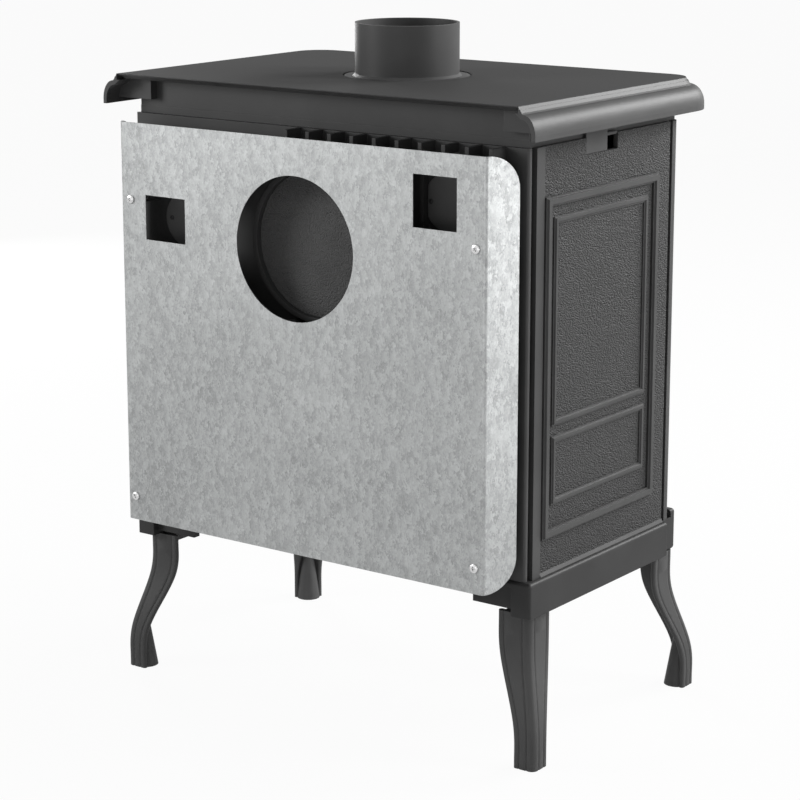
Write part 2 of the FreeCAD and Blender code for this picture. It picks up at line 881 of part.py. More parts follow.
def heat_shield():
    z0 = z_body - shield_foot_drop
    height = z_neck - shield_head_drop - z0
    y1 = y_shield + shield_gauge
    y0 = y1 - shield_flange_depth
    edge = shield_half_width + shield_flange_run
    lean = math.hypot(shield_flange_run, shield_flange_depth)
    shift = shield_gauge * lean / shield_flange_depth
    bend = shield_gauge * (lean - shield_flange_run) / shield_flange_depth
    flat = shield_half_width
    outer = prism([(-edge, y0, z0), (-flat, y1, z0), (flat, y1, z0), (edge, y0, z0)], (0, 0, height))
    inside = shield_half_width - bend
    inner = prism([(-edge + shift, y0, z0), (-inside, y_shield, z0), (inside, y_shield, z0),
                   (edge - shift, y0, z0)], (0, 0, height))
    for sx in (1, -1):
        outer = outer.makeFillet(shield_bend_radius, vertical_edges(outer, sx * flat, y1))
        bend_inside = shield_bend_radius - shield_gauge
        inner = inner.makeFillet(bend_inside, vertical_edges(inner, sx * inside, y_shield))
    sheet = outer.cut(inner)
    trim = block(-edge - 1, edge + 1, y0, y1 + 1, z0, z0 + height)
    corners = []
    for e in trim.Edges:
        box = e.BoundBox
        if box.XLength > edge and box.YMax < y0 + 0.01:
            corners.append(e)
    sheet = sheet.common(trim.makeFillet(shield_corner_radius, corners))
    holes = [rod(shield_hole_radius, (0, y_shield - 1, z_outlet), (0, y1 + 1, z_outlet))]
    for x, drop, width, tall in (
        (window_left_x, window_left_drop, window_left_width, window_left_height),
        (window_right_x, window_right_drop, window_right_width, window_right_height),
    ):
        z = z_neck - drop
        holes.append(block(x - width / 2, x + width / 2, y_shield - 1, y1 + 1, z - tall / 2, z + tall / 2))
    for x, z in shield_screw_places():
        holes.append(rod(shield_screw_radius + bolt_clearance, (x, y_shield - 1, z), (x, y1 + 1, z)))
    return sheet.cut(holes)


def shield_spacers():
    spacers = []
    for x, z in shield_screw_places():
        tube = rod(spacer_radius, (x, y_shield - spacer_length, z), (x, y_shield, z))
        y0 = y_shield - spacer_length - 1
        bore = rod(shield_screw_radius + bolt_clearance, (x, y0, z), (x, y_shield + 1, z))
        spacers.append(tube.cut(bore))
    return group(spacers)


def shield_screws():
    y_seat = y_shield + shield_gauge
    tip = y_shield - spacer_length - shield_screw_depth
    screws = []
    for x, z in shield_screw_places():
        shank = rod(shield_screw_radius, (x, tip, z), (x, y_seat, z))
        screws.append(shank.fuse(domed_head(x, y_seat, z)))
    return group(screws)


def domed_head(x, y, z):
    """A pan head that stands on the sheet and looks to +Y."""
    r = shield_screw_head_radius
    h = screw_head_height
    rim = screw_head_rim

    def p(out, drop):
        return V(out, h - drop, 0)

    edges = [
        Part.makeLine(p(0, h), p(r, h)),
        Part.makeLine(p(r, h), p(r, h - rim)),
        quarter_curve(p, (0, 0), (r, h - rim)),
        Part.makeLine(p(0, 0), p(0, h)),
    ]
    head = revolved(edges, V(0, 1, 0))
    head.translate(V(x, y, z))
    return head


def revolved(edges, axis):
    """A solid of revolution about an axis through the origin, from the edges of its half section."""
    return Part.Face(Part.Wire(Part.__sortEdges__(edges))).revolve(V(0, 0, 0), axis, 360)


def front_frame():
    frame = block(-half_body, half_body, y_front, y_front + front_return, z_body, z_neck)
    for sx in (1, -1):
        frame = frame.makeFillet(front_corner_radius, vertical_edges(frame, sx * half_body, y_front))
    frame = frame.cut(block(-half_inside, half_inside, y_front_inside, y_front + front_return + 1,
                            z_body - 1, z_neck + 1))
    added = []
    for sx in (1, -1):
        x = sorted((sx * half_inside, sx * (half_inside - tongue_thickness)))
        added.append(block(x[0], x[1], y_front_inside, y_front_tongue, z_body, z_neck))
    added += [hinge_lug(z - hinge_lug_height, z, y_front) for z in hinge_levels()]
    frame = frame.fuse(added)
    f = door_half_width - door_lap_side
    z0 = z_door_foot + door_lap_foot
    z1 = z_door_head - door_lap_head
    a = drawer_front_half - drawer_lap_side
    z2 = z_drawer_foot + drawer_lap_foot
    z3 = z_drawer_head - drawer_lap_head
    holes = [
        block(-f, f, y_front - 1, y_front_inside + 1, z0, z1),
        block(-a, a, y_front - 1, y_front_inside + 1, z2, z3),
        rod(rod_radius + pin_clearance, (rod_x, y_front - 1, z_rod()), (rod_x, y_front_inside + 1, z_rod())),
    ]
    holes += [hinge_bore(z - hinge_lug_height, z) for z in hinge_levels()]
    for x in slide_slots():
        half = slide_slot_length / 2
        h = slide_slot_height / 2
        holes.append(block(x - half, x + half, y_front - 1, y_front_inside + 1, z_slide() - h, z_slide() + h))
    return frame.cut(holes).removeSplitter()


def hinge_axis():
    return -(door_half_width + hinge_offset), y_door - hinge_depth


def hinge_levels():
    """Where each door lug rests, just above its frame lug."""
    return [z_door_foot + hinge_low, z_door_foot + hinge_high]


def hinge_lug(z0, z1, y_face):
    """A barrel on the hinge axis with a web back to the upright face at y_face."""
    x, y = hinge_axis()
    web = block(x - hinge_web_half, x + hinge_web_half, y, y_face, z0, z1)
    return rod(hinge_barrel_radius, (x, y, z0), (x, y, z1)).fuse(web)


def hinge_bore(z0, z1):
    x, y = hinge_axis()
    return rod(hinge_pin_radius + pin_clearance, (x, y, z0 - 1), (x, y, z1 + 1))


def z_rod():
    return z_ledge - rod_drop


def z_slide():
    return z_door_head + slide_rise


def slide_slots():
    middle = (slide_slot_count - 1) / 2
    return [(k - middle) * slide_slot_pitch for k in range(slide_slot_count)]


def top_frame():
    y0 = y_neck_front
    y1 = y_neck_rear
    w = neck_ring_width
    ring = block(-half_neck, half_neck, y0, y1, z_neck, z_seat)
    ring = ring.cut(block(-half_neck + w, half_neck - w, y0 + w, y1 - w, z_neck - 1, z_seat + 1))
    lug_rear = notch_centre_y + notch_length / 2
    notch_front = notch_centre_y - notch_length / 2
    lug_front = notch_front + lug_front_gap
    outer = half_body - seat_clearance
    x_pin = outer - lug_pin_radius
    lugs = []
    for sx in (1, -1):
        x = sorted((sx * outer, sx * (half_inside - lug_reach)))
        hook = block(x[0], x[1], lug_front, lug_rear, z_neck - lug_drop, z_seat)
        inside = sorted((sx * half_inside, sx * (half_inside - lug_reach)))
        hook = hook.cut(block(inside[0], inside[1], lug_front, lug_rear, z_neck - lug_drop - 1, z_neck))
        pin = rod(lug_pin_radius, (sx * x_pin, notch_front + lug_pin_gap, z_neck),
                  (sx * x_pin, lug_front + lug_pin_radius, z_neck))
        lugs += [hook, pin]
    return ring.fuse(lugs).cut(tie_rod_holes()).removeSplitter()


def cornice_outer(x, y, z):
    """The cornice's outer line from the plate's edge down, in an XZ plane: (edges, last point)."""
    def p(d, drop):
        return V(x + d, y, z - drop)

    corners = [
        (0, 0),
        (bead_run, bead_fall),
        (bead_run + bead_land, bead_fall),
        (2 * bead_run + bead_land, 2 * bead_fall),
        (2 * bead_run + bead_land + cove_run, 2 * bead_fall + cove_fall),
    ]
    edges = [Part.makeLine(p(*a), p(*b)) for a, b in zip(corners, corners[1:])]
    edges.append(quarter_curve(p, corners[-1], (cornice_reach, corners[-1][1] + ovolo_fall)))
    edges.append(Part.makeLine(p(cornice_reach, corners[-1][1] + ovolo_fall), p(cornice_reach, cornice_drop)))
    return edges


def quarter_curve(p, start, end):
    """A quarter of an ellipse that leaves start level and reaches end upright."""
    k = 0.5523
    curve = Part.BezierCurve()
    curve.setPoles([
        p(*start),
        p(start[0] + k * (end[0] - start[0]), start[1]),
        p(end[0], end[1] - k * (end[1] - start[1])),
        p(*end),
    ])
    return curve.toShape()


def cornice_face(y):
    """Section of the plate's edge with its hollow cornice, from the corner's centre outwards."""
    x = half_plate
    z = z_top
    r = cornice_corner_radius
    t = plate_thickness
    w = cornice_wall

    def p(d, drop):
        return V(x + d, y, z - drop)

    run = 2 * bead_run + bead_land + cove_run
    fall = 2 * bead_fall + cove_fall
    inner_start = (run - w / 2, fall + w)
    inner_end = (cornice_reach - w, fall + ovolo_fall)
    edges = cornice_outer(x, y, z)
    edges.append(Part.makeLine(p(cornice_reach, cornice_drop), p(cornice_reach - w, cornice_drop)))
    edges.append(Part.makeLine(p(cornice_reach - w, cornice_drop), p(*inner_end)))
    edges.append(quarter_curve(p, inner_start, inner_end))
    edges.append(Part.makeLine(p(*inner_start), p(-w, t)))
    edges.append(Part.makeLine(p(-w, t), p(-r, t)))
    edges.append(Part.makeLine(p(-r, t), p(-r, 0)))
    edges.append(Part.makeLine(p(-r, 0), p(0, 0)))
    return Part.Face(Part.Wire(Part.__sortEdges__(edges)))


def cornice_web(sx):
    """The wall that closes the cornice's hollow, a little in from its rear end."""
    y = y_plate_rear - web_rear_inset
    z_foot = cornice_drop - web_bottom_rise
    edges = cornice_outer(half_plate, y, z_top)[:-1]
    low = edges[-1].Vertexes[-1].Point
    high = edges[0].Vertexes[0].Point
    tip = V(low.x, y, z_top - z_foot)
    foot = V(web_inner_half, y, z_top - z_foot)
    head = V(web_inner_half, y, z_top)
    if (tip - low).Length > 1e-6:
        edges.append(Part.makeLine(low, tip))
    edges += [Part.makeLine(tip, foot), Part.makeLine(foot, head), Part.makeLine(head, high)]
    web = Part.Face(Part.Wire(Part.__sortEdges__(edges))).extrude(V(0, y_neck_rear - y, 0))
    return web if sx > 0 else mirrored(web)


def top_plate():
    r = cornice_corner_radius
    y_corner = y_plate_front + r
    section = cornice_face(y_corner)
    side = section.extrude(V(0, y_plate_rear - y_corner, 0))
    centre = V(half_plate - r, y_corner, 0)
    corner = section.revolve(centre, V(0, 0, 1), -90)
    across = cornice_face(y_corner)
    across.rotate(centre, V(0, 0, 1), -90)
    front = across.extrude(V(-2 * (half_plate - r), 0, 0))
    slab = block(-(half_plate - r), half_plate - r, y_corner, y_plate_rear, z_plate_under, z_top)
    edging = [side, mirrored(side), corner, mirrored(corner), front, cornice_web(1), cornice_web(-1)]
    x1 = half_neck - seat_clearance
    y1 = y_neck_rear
    y0 = y_neck_front + skirt_front_inset
    skirt = block(-x1, x1, y0, y1, z_seat, z_plate_under)
    s = skirt_wall
    skirt = skirt.cut(block(-x1 + s, x1 - s, y0 + s, y1 - s, z_seat - 1, z_plate_under + 1))
    z_seat_ring = z_plate_under - flue_seat_thickness
    seat = rod(flue_seat_radius, (0, y_flue, z_seat_ring), (0, y_flue, z_plate_under))
    plate = slab.fuse(edging + [skirt, seat])
    holes = [
        rod(flue_hole_radius, (0, y_flue, z_flue_seat), (0, y_flue, z_top + 1)),
        rod(flue_seat_bore, (0, y_flue, z_seat_ring - 1), (0, y_flue, z_top)),
        prism([(-half_plate, y_plate_rear, z_top - plate_edge_height),
               (-half_plate, y_plate_rear, z_plate_under - 1),
               (-half_plate, y_plate_rear - plate_rear_chamfer, z_plate_under - 1),
               (-half_plate, y_plate_rear - plate_rear_chamfer, z_plate_under)], (2 * half_plate, 0, 0)),
    ]
    for x, y in spigot_bolt_places():
        holes.append(rod(spigot_bolt_radius + bolt_clearance, (x, y, z_seat_ring - 1), (x, y, z_flue_seat + 1)))
    return plate.cut(holes).removeSplitter()


def spigot_bolt_places():
    places = []
    for k in range(spigot_bolt_count):
        a = 2 * math.pi * k / spigot_bolt_count + math.pi / 2
        places.append((spigot_bolt_circle * math.cos(a), y_flue + spigot_bolt_circle * math.sin(a)))
    return places


def flue_spigot():
    z0 = z_flue_seat
    z1 = z0 + spigot_flange_thickness
    inner = spigot_radius - spigot_wall
    f = spigot_fillet
    line = [
        (inner, 0, z0), (spigot_flange_radius, 0, z0), (spigot_flange_radius, 0, z1),
        (spigot_radius + f, 0, z1), (spigot_radius, 0, z1 + f), (spigot_radius, 0, z_spigot),
        (inner, 0, z_spigot),
    ]
    tube = face_of(line).revolve(V(0, 0, 0), V(0, 0, 1), 360)
    tube.translate(V(0, y_flue, 0))
    holes = []
    for x, y in spigot_bolt_places():
        top = z0 + spigot_bolt_depth + bolt_clearance
        holes.append(rod(spigot_bolt_radius + bolt_clearance, (x, y, z0 - 1), (x, y, top)))
    return tube.cut(holes)


def spigot_bolts():
    z_under = z_plate_under - flue_seat_thickness
    return group([
        headed_pin(spigot_bolt_radius, spigot_bolt_head_radius, spigot_bolt_head_height,
                   (x, y, z_flue_seat + spigot_bolt_depth), (x, y, z_under), (0, 0, -1))
        for x, y in spigot_bolt_places()
    ])


def grate_range():
    """Front and rear of the grate's recess in the floor, with the grate at its rear end."""
    length = grate_length + grate_travel + 2 * seat_clearance
    return -length / 2, length / 2


def firebox_floor():
    y0 = y_front_inside + seat_clearance
    y1 = y_back_inside - seat_clearance
    floor = block(-half_clear, half_clear, y0, y1, z_ledge, z_floor)
    g0, g1 = grate_range()
    w = grate_half_width + seat_clearance
    recess = block(-w, w, g0, g1, z_floor - grate_thickness - running_gap, z_floor + 1)
    e = grate_ledge
    through = block(-w + e, w - e, g0 + e, g1 - e, z_ledge - 1, z_floor + 1)
    return floor.cut([recess, through] + tie_rod_holes())


def riddling_grate():
    g1 = grate_range()[1] - seat_clearance
    g0 = g1 - grate_length
    z0 = z_floor - grate_thickness
    grate = block(-grate_half_width, grate_half_width, g0, g1, z0, z_floor)
    middle = (g0 + g1) / 2
    slots = []
    for k in range(grate_slot_count):
        y = middle + (k - (grate_slot_count - 1) / 2) * grate_slot_pitch
        h = grate_slot_width / 2
        s = grate_slot_half_length
        slots.append(block(-s, s, y - h, y + h, z0 - 1, z_floor + 1))
    grate = grate.cut(slots)
    half = rod_lug_half
    lug = block(-half, half, middle - rod_arm_width / 2, middle + rod_arm_width / 2, z_arm_top(), z0)
    return grate.fuse(lug).removeSplitter()


def z_arm_top():
    return z_rod() + rod_arm_thickness / 2


def grate_middle():
    return grate_range()[1] - seat_clearance - grate_length / 2


def riddling_rod():
    y = grate_middle()
    half = rod_arm_width / 2
    z1 = z_arm_top()
    arm = block(-rod_lug_half, rod_x + rod_radius, y - half, y + half, z1 - rod_arm_thickness, z1)
    bar = rod(rod_radius, (rod_x, y, z_rod()), (rod_x, y_front - rod_front_reach, z_rod()))
    return arm.fuse(bar).removeSplitter()


def turned_knob(radius, length, neck):
    """A turned knob on the +Z axis: a neck, then a flattened ball."""
    widest = length - radius * knob_crown
    start = widest - radius * knob_swell

    def up(out, rise):
        return V(out, 0, start + rise)

    def down(out, drop):
        return V(out, 0, length - drop)

    edges = [
        Part.makeLine(V(0, 0, 0), V(neck, 0, 0)),
        Part.makeLine(V(neck, 0, 0), V(neck, 0, start)),
        quarter_curve(up, (neck, 0), (radius, widest - start)),
        quarter_curve(down, (0, 0), (radius, length - widest)),
        Part.makeLine(V(0, 0, length), V(0, 0, 0)),
    ]
    return revolved(edges, V(0, 0, 1))


def knob_on_front(radius, length, neck, x, y, z):
    knob = turned_knob(radius, length, neck)
    knob.rotate(V(0, 0, 0), V(1, 0, 0), 90)
    knob.translate(V(x, y, z))
    return knob


def riddling_knob():
    y = y_front - rod_front_reach
    return knob_on_front(rod_knob_radius, rod_knob_length, rod_radius, rod_x, y, z_rod())


def liner_right():
    """Fire brick whose sloping top edge carries the baffle."""
    x1 = half_inside - seat_clearance
    x0 = x1 - liner_thickness
    y0, y1 = liner_range()
    z0 = z_floor
    z_rear = z0 + liner_rear_height
    z_front = z0 + liner_front_height
    return prism([(x0, y0, z0), (x0, y1, z0), (x0, y1, z_rear), (x0, y0, z_front)], (liner_thickness, 0, 0))


def liner_range():
    return y_front_tongue + liner_front_gap - liner_rear_gap, y_rear_tongue - liner_rear_gap


def liner_rear():
    y1 = y_back_inside - seat_clearance
    y0 = y1 - liner_thickness
    return block(-rear_liner_half, rear_liner_half, y0, y1, z_floor, z_floor + rear_liner_height)


def baffle_plate():
    y0, y1 = liner_range()
    fall = (liner_rear_height - liner_front_height) / (y1 - y0)
    start = y0 + baffle_front_inset

    def z(y):
        return z_floor + liner_front_height + fall * (y - y0)

    x = half_clear
    t = baffle_thickness
    return prism([(-x, start, z(start)), (-x, y1, z(y1)), (-x, y1, z(y1) + t), (-x, start, z(start) + t)],
                 (2 * x, 0, 0))


def log_retainer():
    y0 = y_front_inside + retainer_setback
    w = retainer_half_width
    fence = block(-w, w, y0, y0 + retainer_thickness, z_floor, z_floor + retainer_height)
    edges = [e for e in fence.Edges if e.BoundBox.XLength > w and e.BoundBox.ZMin > z_floor + 1]
    return fence.makeFillet(retainer_edge_radius, edges)


def window_box(margin):
    """The door's window, grown by a margin on each side: x, z0, z1."""
    half = door_half_width - window_stile
    return half + margin, z_door_foot + window_foot - margin, z_door_head - window_head + margin


def door_frame():
    z0 = z_door_foot
    z1 = z_door_head
    w = door_half_width
    y0 = y_door - door_thickness
    door = block(-w, w, y0, y_door, z0, z1)
    rims = [e for e in door.Edges if e.BoundBox.YMax < y0 + 0.01]
    door = door.makeFillet(door_edge_radius, rims)
    i = door_bead_inset
    beads = [outer_bead(-w + i, w - i, z0 + i, z1 - i)]
    bx, b0, b1 = window_box(window_bead_margin)
    beads.append(inner_bead(-bx, bx, b0, b1))
    lugs = [hinge_lug_on_door(z) for z in hinge_levels()]
    door = door.fuse([on_front(b, y0) for b in beads] + lugs)
    x, w0, w1 = window_box(0)
    rx, r0, r1 = window_box(rebate_width)
    holes = [
        block(-x, x, y0 - outer_bead_rise - 1, y_door + 1, w0, w1),
        block(-rx, rx, y_door - rebate_depth, y_door + 1, r0, r1),
        gasket_ring(y_door - gasket_groove_depth, y_door + 1),
        rod(spindle_radius + pin_clearance, (spindle_x(), y0 - outer_bead_rise - 1, spindle_z()),
            (spindle_x(), y_door + 1, spindle_z())),
    ]
    holes += [hinge_bore(z, z + hinge_lug_height) for z in hinge_levels()]
    for x, z in clip_screw_places():
        tip = y_door - clip_screw_depth - clip_screw_run_out
        holes.append(rod(clip_screw_radius + bolt_clearance, (x, tip, z), (x, y_door + 1, z)))
    return door.cut(holes).removeSplitter()


def hinge_lug_on_door(z):
    """A barrel that stands on the frame's lug, with an arm to the door's edge."""
    x, y = hinge_axis()
    z0 = z + running_gap
    z1 = z + hinge_lug_height
    x_door = -door_half_width + door_edge_radius
    arm = block(x, x_door, y - hinge_arm_half, y + hinge_arm_half, z0, z1)
    return rod(hinge_barrel_radius, (x, y, z0), (x, y, z1)).fuse(arm)


def hinge_pins():
    x, y = hinge_axis()
    pins = []
    for z in hinge_levels():
        top = z + hinge_lug_height
        pins.append(headed_pin(hinge_pin_radius, hinge_pin_head_radius, hinge_pin_head_height,
                               (x, y, z - hinge_lug_height), (x, y, top), (0, 0, 1)))
    return group(pins)


def gasket_ring(y0, y1):
    z0 = z_door_foot
    z1 = z_door_head
    w = door_half_width - gasket_setback
    g = gasket_width
    s = gasket_setback
    outer = block(-w, w, y0, y1, z0 + s, z1 - s)
    return outer.cut(block(-w + g, w - g, y0 - 1, y1 + 1, z0 + s + g, z1 - s - g))


def door_gasket():
    return gasket_ring(y_door - gasket_groove_depth, y_door + running_gap / 2)


def glass_planes():
    """Front of the gasket, front of the glass and back of the glass, from the rebate's floor."""
    y0 = y_door - rebate_depth
    return y0, y0 + glass_gasket_thickness, y0 + glass_gasket_thickness + glass_thickness


def door_glass():
    y0, y1, y2 = glass_planes()
    x, z0, z1 = window_box(rebate_width - glass_edge_gap)
    return block(-x, x, y1, y2, z0, z1)


def glass_gasket():
    y0, y1, y2 = glass_planes()
    x, z0, z1 = window_box(rebate_width - glass_edge_gap)
    g = glass_gasket_width
    ring = block(-x, x, y0, y1, z0, z1)
    return ring.cut(block(-x + g, x - g, y0 - 1, y1 + 1, z0 + g, z1 - g))


def clip_places():
    """Middle of each clip on the rebate's edge: above and below the window, left and right."""
    z0 = window_box(rebate_width)[1]
    z1 = window_box(rebate_width)[2]
    x = window_box(0)[0] / 2
    return [(sx * x, z, up) for z, up in ((z0, -1), (z1, 1)) for sx in (1, -1)]


def clip_screw_places():
    reach = (clip_length - clip_overlap) / 2
    return [(x, z + up * reach) for x, z, up in clip_places()]


def glass_clips():
    glass_back = glass_planes()[2]
    clips = []
    for x, z, up in clip_places():
        w = clip_width / 2
        zs = sorted((z - up * clip_overlap, z + up * (clip_length - clip_overlap)))
        strip = block(x - w, x + w, y_door, y_door + clip_thickness, zs[0], zs[1])
        zt = sorted((z - up * clip_overlap, z - up * (clip_overlap - clip_thickness)))
        toe = block(x - w, x + w, glass_back, y_door, zt[0], zt[1])
        hz = z + up * (clip_length - clip_overlap) / 2
        y_out = y_door + clip_thickness + 1
        hole = rod(clip_screw_radius + bolt_clearance, (x, y_door - 1, hz), (x, y_out, hz))
        clips.append(strip.fuse(toe).cut(hole))
    return group(clips)


def clip_screws():
    y_seat = y_door + clip_thickness
    return group([
        headed_pin(clip_screw_radius, clip_screw_head_radius, clip_screw_head_height,
                   (x, y_door - clip_screw_depth, z), (x, y_seat, z), (0, 1, 0))
        for x, z in clip_screw_places()
    ])


def spindle_x():
    return door_half_width - handle_setback


def spindle_z():
    return z_door_foot + handle_height


def handle_hub():
    """Hub with the spindle that passes through the door and the stub that holds the grip."""
    x = spindle_x()
    z = spindle_z()
    y0 = y_door - door_thickness - running_gap
    y1 = y0 - hub_length
    y_axis = y1 + hub_radius
    hub = rod(hub_radius, (x, y0, z), (x, y1, z))
    rim = [e for e in hub.Edges if e.BoundBox.YMax < y1 + 0.01]
    hub = hub.makeFillet(hub_edge_radius, rim)
    neck = rod(hub_neck_radius, (x, y_axis, z), (x + grip_start, y_axis, z))
    stub = rod(grip_stub_radius, (x, y_axis, z), (x + grip_start + grip_length / 2, y_axis, z))
    spindle = rod(spindle_radius, (x, y0, z), (x, cam_back() + nut_thickness, z))
    return fuse([hub, neck, stub, spindle])


def cam_front():
    return y_front_inside + cam_gap


def cam_back():
    return cam_front() + cam_thickness


def handle_grip():
    """A turned grip, swelling at its middle, bored for the stub."""
    y_axis = y_door - door_thickness - running_gap - hub_length + hub_radius
    x0 = spindle_x() + grip_start
    straight = grip_length - grip_crown
    pull = (4 * grip_radius - grip_end_radius) / 3
    swell = Part.BezierCurve()
    swell.setPoles([V(0, grip_end_radius, 0), V(straight / 3, pull, 0), V(straight * 2 / 3, pull, 0),
                    V(straight, grip_end_radius, 0)])

    def p(out, drop):
        return V(grip_length - drop, out, 0)

    edges = [
        Part.makeLine(V(0, 0, 0), V(0, grip_end_radius, 0)),
        swell.toShape(),
        quarter_curve(p, (0, 0), (grip_end_radius, grip_crown)),
        Part.makeLine(V(grip_length, 0, 0), V(0, 0, 0)),
    ]
    grip = revolved(edges, V(1, 0, 0))
    bore = rod(grip_stub_radius + pin_clearance, (-1, 0, 0), (grip_length / 2 + bolt_clearance, 0, 0))
    grip = grip.cut(bore)
    grip.translate(V(x0, y_axis, spindle_z()))
    return grip


def latch_cam():
    """A tapered finger on the spindle, upright at rest, which turns behind the frame to latch."""
    x = spindle_x()
    z = spindle_z()
    y0 = cam_front()
    y1 = cam_back()
    w = cam_width / 2
    tip = cam_tip_width / 2
    z1 = z + cam_length
    finger = prism([(x - w, y0, z), (x + w, y0, z), (x + tip, y0, z1), (x - tip, y0, z1)], (0, y1 - y0, 0))
    disc = rod(w, (x, y0, z), (x, y1, z))
    bore = rod(spindle_radius + pin_clearance, (x, y0 - 1, z), (x, y1 + 1, z))
    return disc.fuse(finger).cut(bore).removeSplitter()


def latch_nut():
    x = spindle_x()
    z = spindle_z()
    y0 = cam_back()
    points = []
    for k in range(6):
        a = math.pi * k / 3
        points.append((x + nut_radius * math.cos(a), y0, z + nut_radius * math.sin(a)))
    nut = prism(points, (0, nut_thickness, 0))
    return nut.cut(rod(spindle_radius + pin_clearance, (x, y0 - 1, z), (x, y0 + nut_thickness + 1, z)))


def z_pan():
    return z_body + bottom_plate_thickness + runner_height + running_gap


def drawer_runners():
    z0 = z_body + bottom_plate_thickness
    y0 = y_front_inside + seat_clearance
    w = runner_width / 2
    return group([
        block(x - w, x + w, y0, y0 + runner_length, z0, z0 + runner_height)
        for x in (runner_centre, -runner_centre)
    ])


def ash_pan():
    """Five plates of sheet, welded along their edges."""
    y0 = y_front + pan_setback
    z0 = z_pan()
    w = pan_half_width
    s = pan_sheet
    y1 = y0 + pan_length
    z1 = z0 + pan_height
    floor = block(-w, w, y0, y1, z0, z0 + s)
    front = block(-w, w, y0, y0 + s, z0 + s, z1)
    back = block(-w, w, y1 - s, y1, z0 + s, z1)
    sides = [block(x, x + s, y0 + s, y1 - s, z0 + s, z1) for x in (-w, w - s)]
    z = drawer_screw_z()
    for x in (drawer_screw_spacing / 2, -drawer_screw_spacing / 2):
        front = front.cut(rod(drawer_screw_radius + bolt_clearance, (x, y0 - 1, z), (x, y0 + s + 1, z)))
    return group([floor, front, back] + sides)


def drawer_screw_z():
    return z_pan() + drawer_pad_foot + drawer_pad_height / 2


def drawer_screws():
    y_seat = y_front + pan_setback + pan_sheet
    z = drawer_screw_z()
    return group([
        headed_pin(drawer_screw_radius, drawer_screw_head_radius, drawer_screw_head_height,
                   (x, y_seat - drawer_screw_depth, z), (x, y_seat, z), (0, 1, 0))
        for x in (drawer_screw_spacing / 2, -drawer_screw_spacing / 2)
    ])


def control_z():
    z_bead = z_drawer_head - drawer_bead_inset - inner_bead_width
    return z_bead - rosette_margin - rosette_radius


def rosette_places():
    return [(-rosette_spacing / 2, control_z()), (rosette_spacing / 2, control_z())]


def rosette_holes(x, z, y0, y1):
    holes = []
    for k in range(rosette_hole_count):
        a = 2 * math.pi * (k + 0.5) / rosette_hole_count
        hx = x + rosette_hole_circle * math.cos(a)
        hz = z + rosette_hole_circle * math.sin(a)
        holes.append(rod(rosette_hole_radius, (hx, y0, hz), (hx, y1, hz)))
    return holes


def drawer_front():
    w = drawer_front_half
    z0 = z_drawer_foot
    z1 = z_drawer_head
    y0 = y_door - drawer_front_thickness
    front = block(-w, w, y0, y_door, z0, z1)
    rims = [e for e in front.Edges if e.BoundBox.YMax < y0 + 0.01]
    front = front.makeFillet(door_edge_radius, rims)
    i = drawer_bead_inset
    bead = on_front(inner_bead(-w + i, w - i, z0 + i, z1 - i), y0)
    zp = z_pan() + drawer_pad_foot
    pad = block(-drawer_pad_half, drawer_pad_half, y_door, y_front + pan_setback, zp, zp + drawer_pad_height)
    front = front.fuse([bead, pad])
    holes = []
    for x in (drawer_screw_spacing / 2, -drawer_screw_spacing / 2):
        y_seat = y_front + pan_setback + pan_sheet
        z = drawer_screw_z()
        y_tip = y_seat - drawer_screw_depth - 1
        holes.append(rod(drawer_screw_radius + bolt_clearance, (x, y_tip, z), (x, y_seat, z)))
    stud_end = y0 + knob_stud_length + bolt_clearance
    holes.append(rod(knob_stud_radius + pin_clearance, (0, y0 - 1, control_z()), (0, stud_end, control_z())))
    for x, z in rosette_places():
        holes += rosette_holes(x, z, y0 - 1, y_door + 1)
        holes.append(rod(rosette_pin_radius + pin_clearance, (x, y0 - 1, z), (x, y_door + 1, z)))
    return front.cut(holes).removeSplitter()


def drawer_knob():
    y0 = y_door - drawer_front_thickness
    knob = knob_on_front(knob_radius, knob_length, knob_neck_radius, 0, y0, control_z())
    stud = rod(knob_stud_radius, (0, y0 + knob_stud_length, control_z()), (0, y0, control_z()))
    return knob.fuse(stud)


def air_rosette(place):
    x, z = place
    y1 = y_door - drawer_front_thickness - running_gap
    y0 = y1 - rosette_thickness
    disc = rod(rosette_radius, (x, y0, z), (x, y1, z))
    tab_z = z - rosette_radius + rosette_tab_radius + rosette_tab_inset
    tab = rod(rosette_tab_radius, (x, y0 - rosette_tab_height, tab_z), (x, y0, tab_z))
    bore = rod(rosette_pin_radius + pin_clearance, (x, y0 - 1, z), (x, y1 + 1, z))
    return disc.fuse(tab).cut(rosette_holes(x, z, y0 - 1, y1 + 1) + [bore]).removeSplitter()


def rosette_pins():
    y_seat = y_door - drawer_front_thickness - 2 * running_gap - rosette_thickness
    return group([
        headed_pin(rosette_pin_radius, rosette_pin_head_radius, rosette_pin_head_height,
                   (x, y_door, z), (x, y_seat, z), (0, -1, 0))
        for x, z in rosette_places()
    ])


def slide_planes():
    """Back and front of the air slide in front of the front frame."""
    y1 = y_front - running_gap
    return y1, y1 - slide_thickness


def air_slide():
    y1, y0 = slide_planes()
    h = slide_height / 2
    bar = block(-slide_half_length, slide_half_length, y0, y1, z_slide() - h, z_slide() + h)
    slots = []
    for x in slide_slots():
        half = slide_slot_length / 2
        s = slide_slot_height / 2
        slots.append(block(x - half, x + half, y0 - 1, y1 + 1, z_slide() - s, z_slide() + s))
    return bar.cut(slots)


def slide_knob():
    y0 = slide_planes()[1]
    return knob_on_front(slide_knob_radius, slide_knob_length, slide_knob_neck, slide_knob_x(), y0, z_slide())


def slide_knob_x():
    return slide_slot_pitch / 2


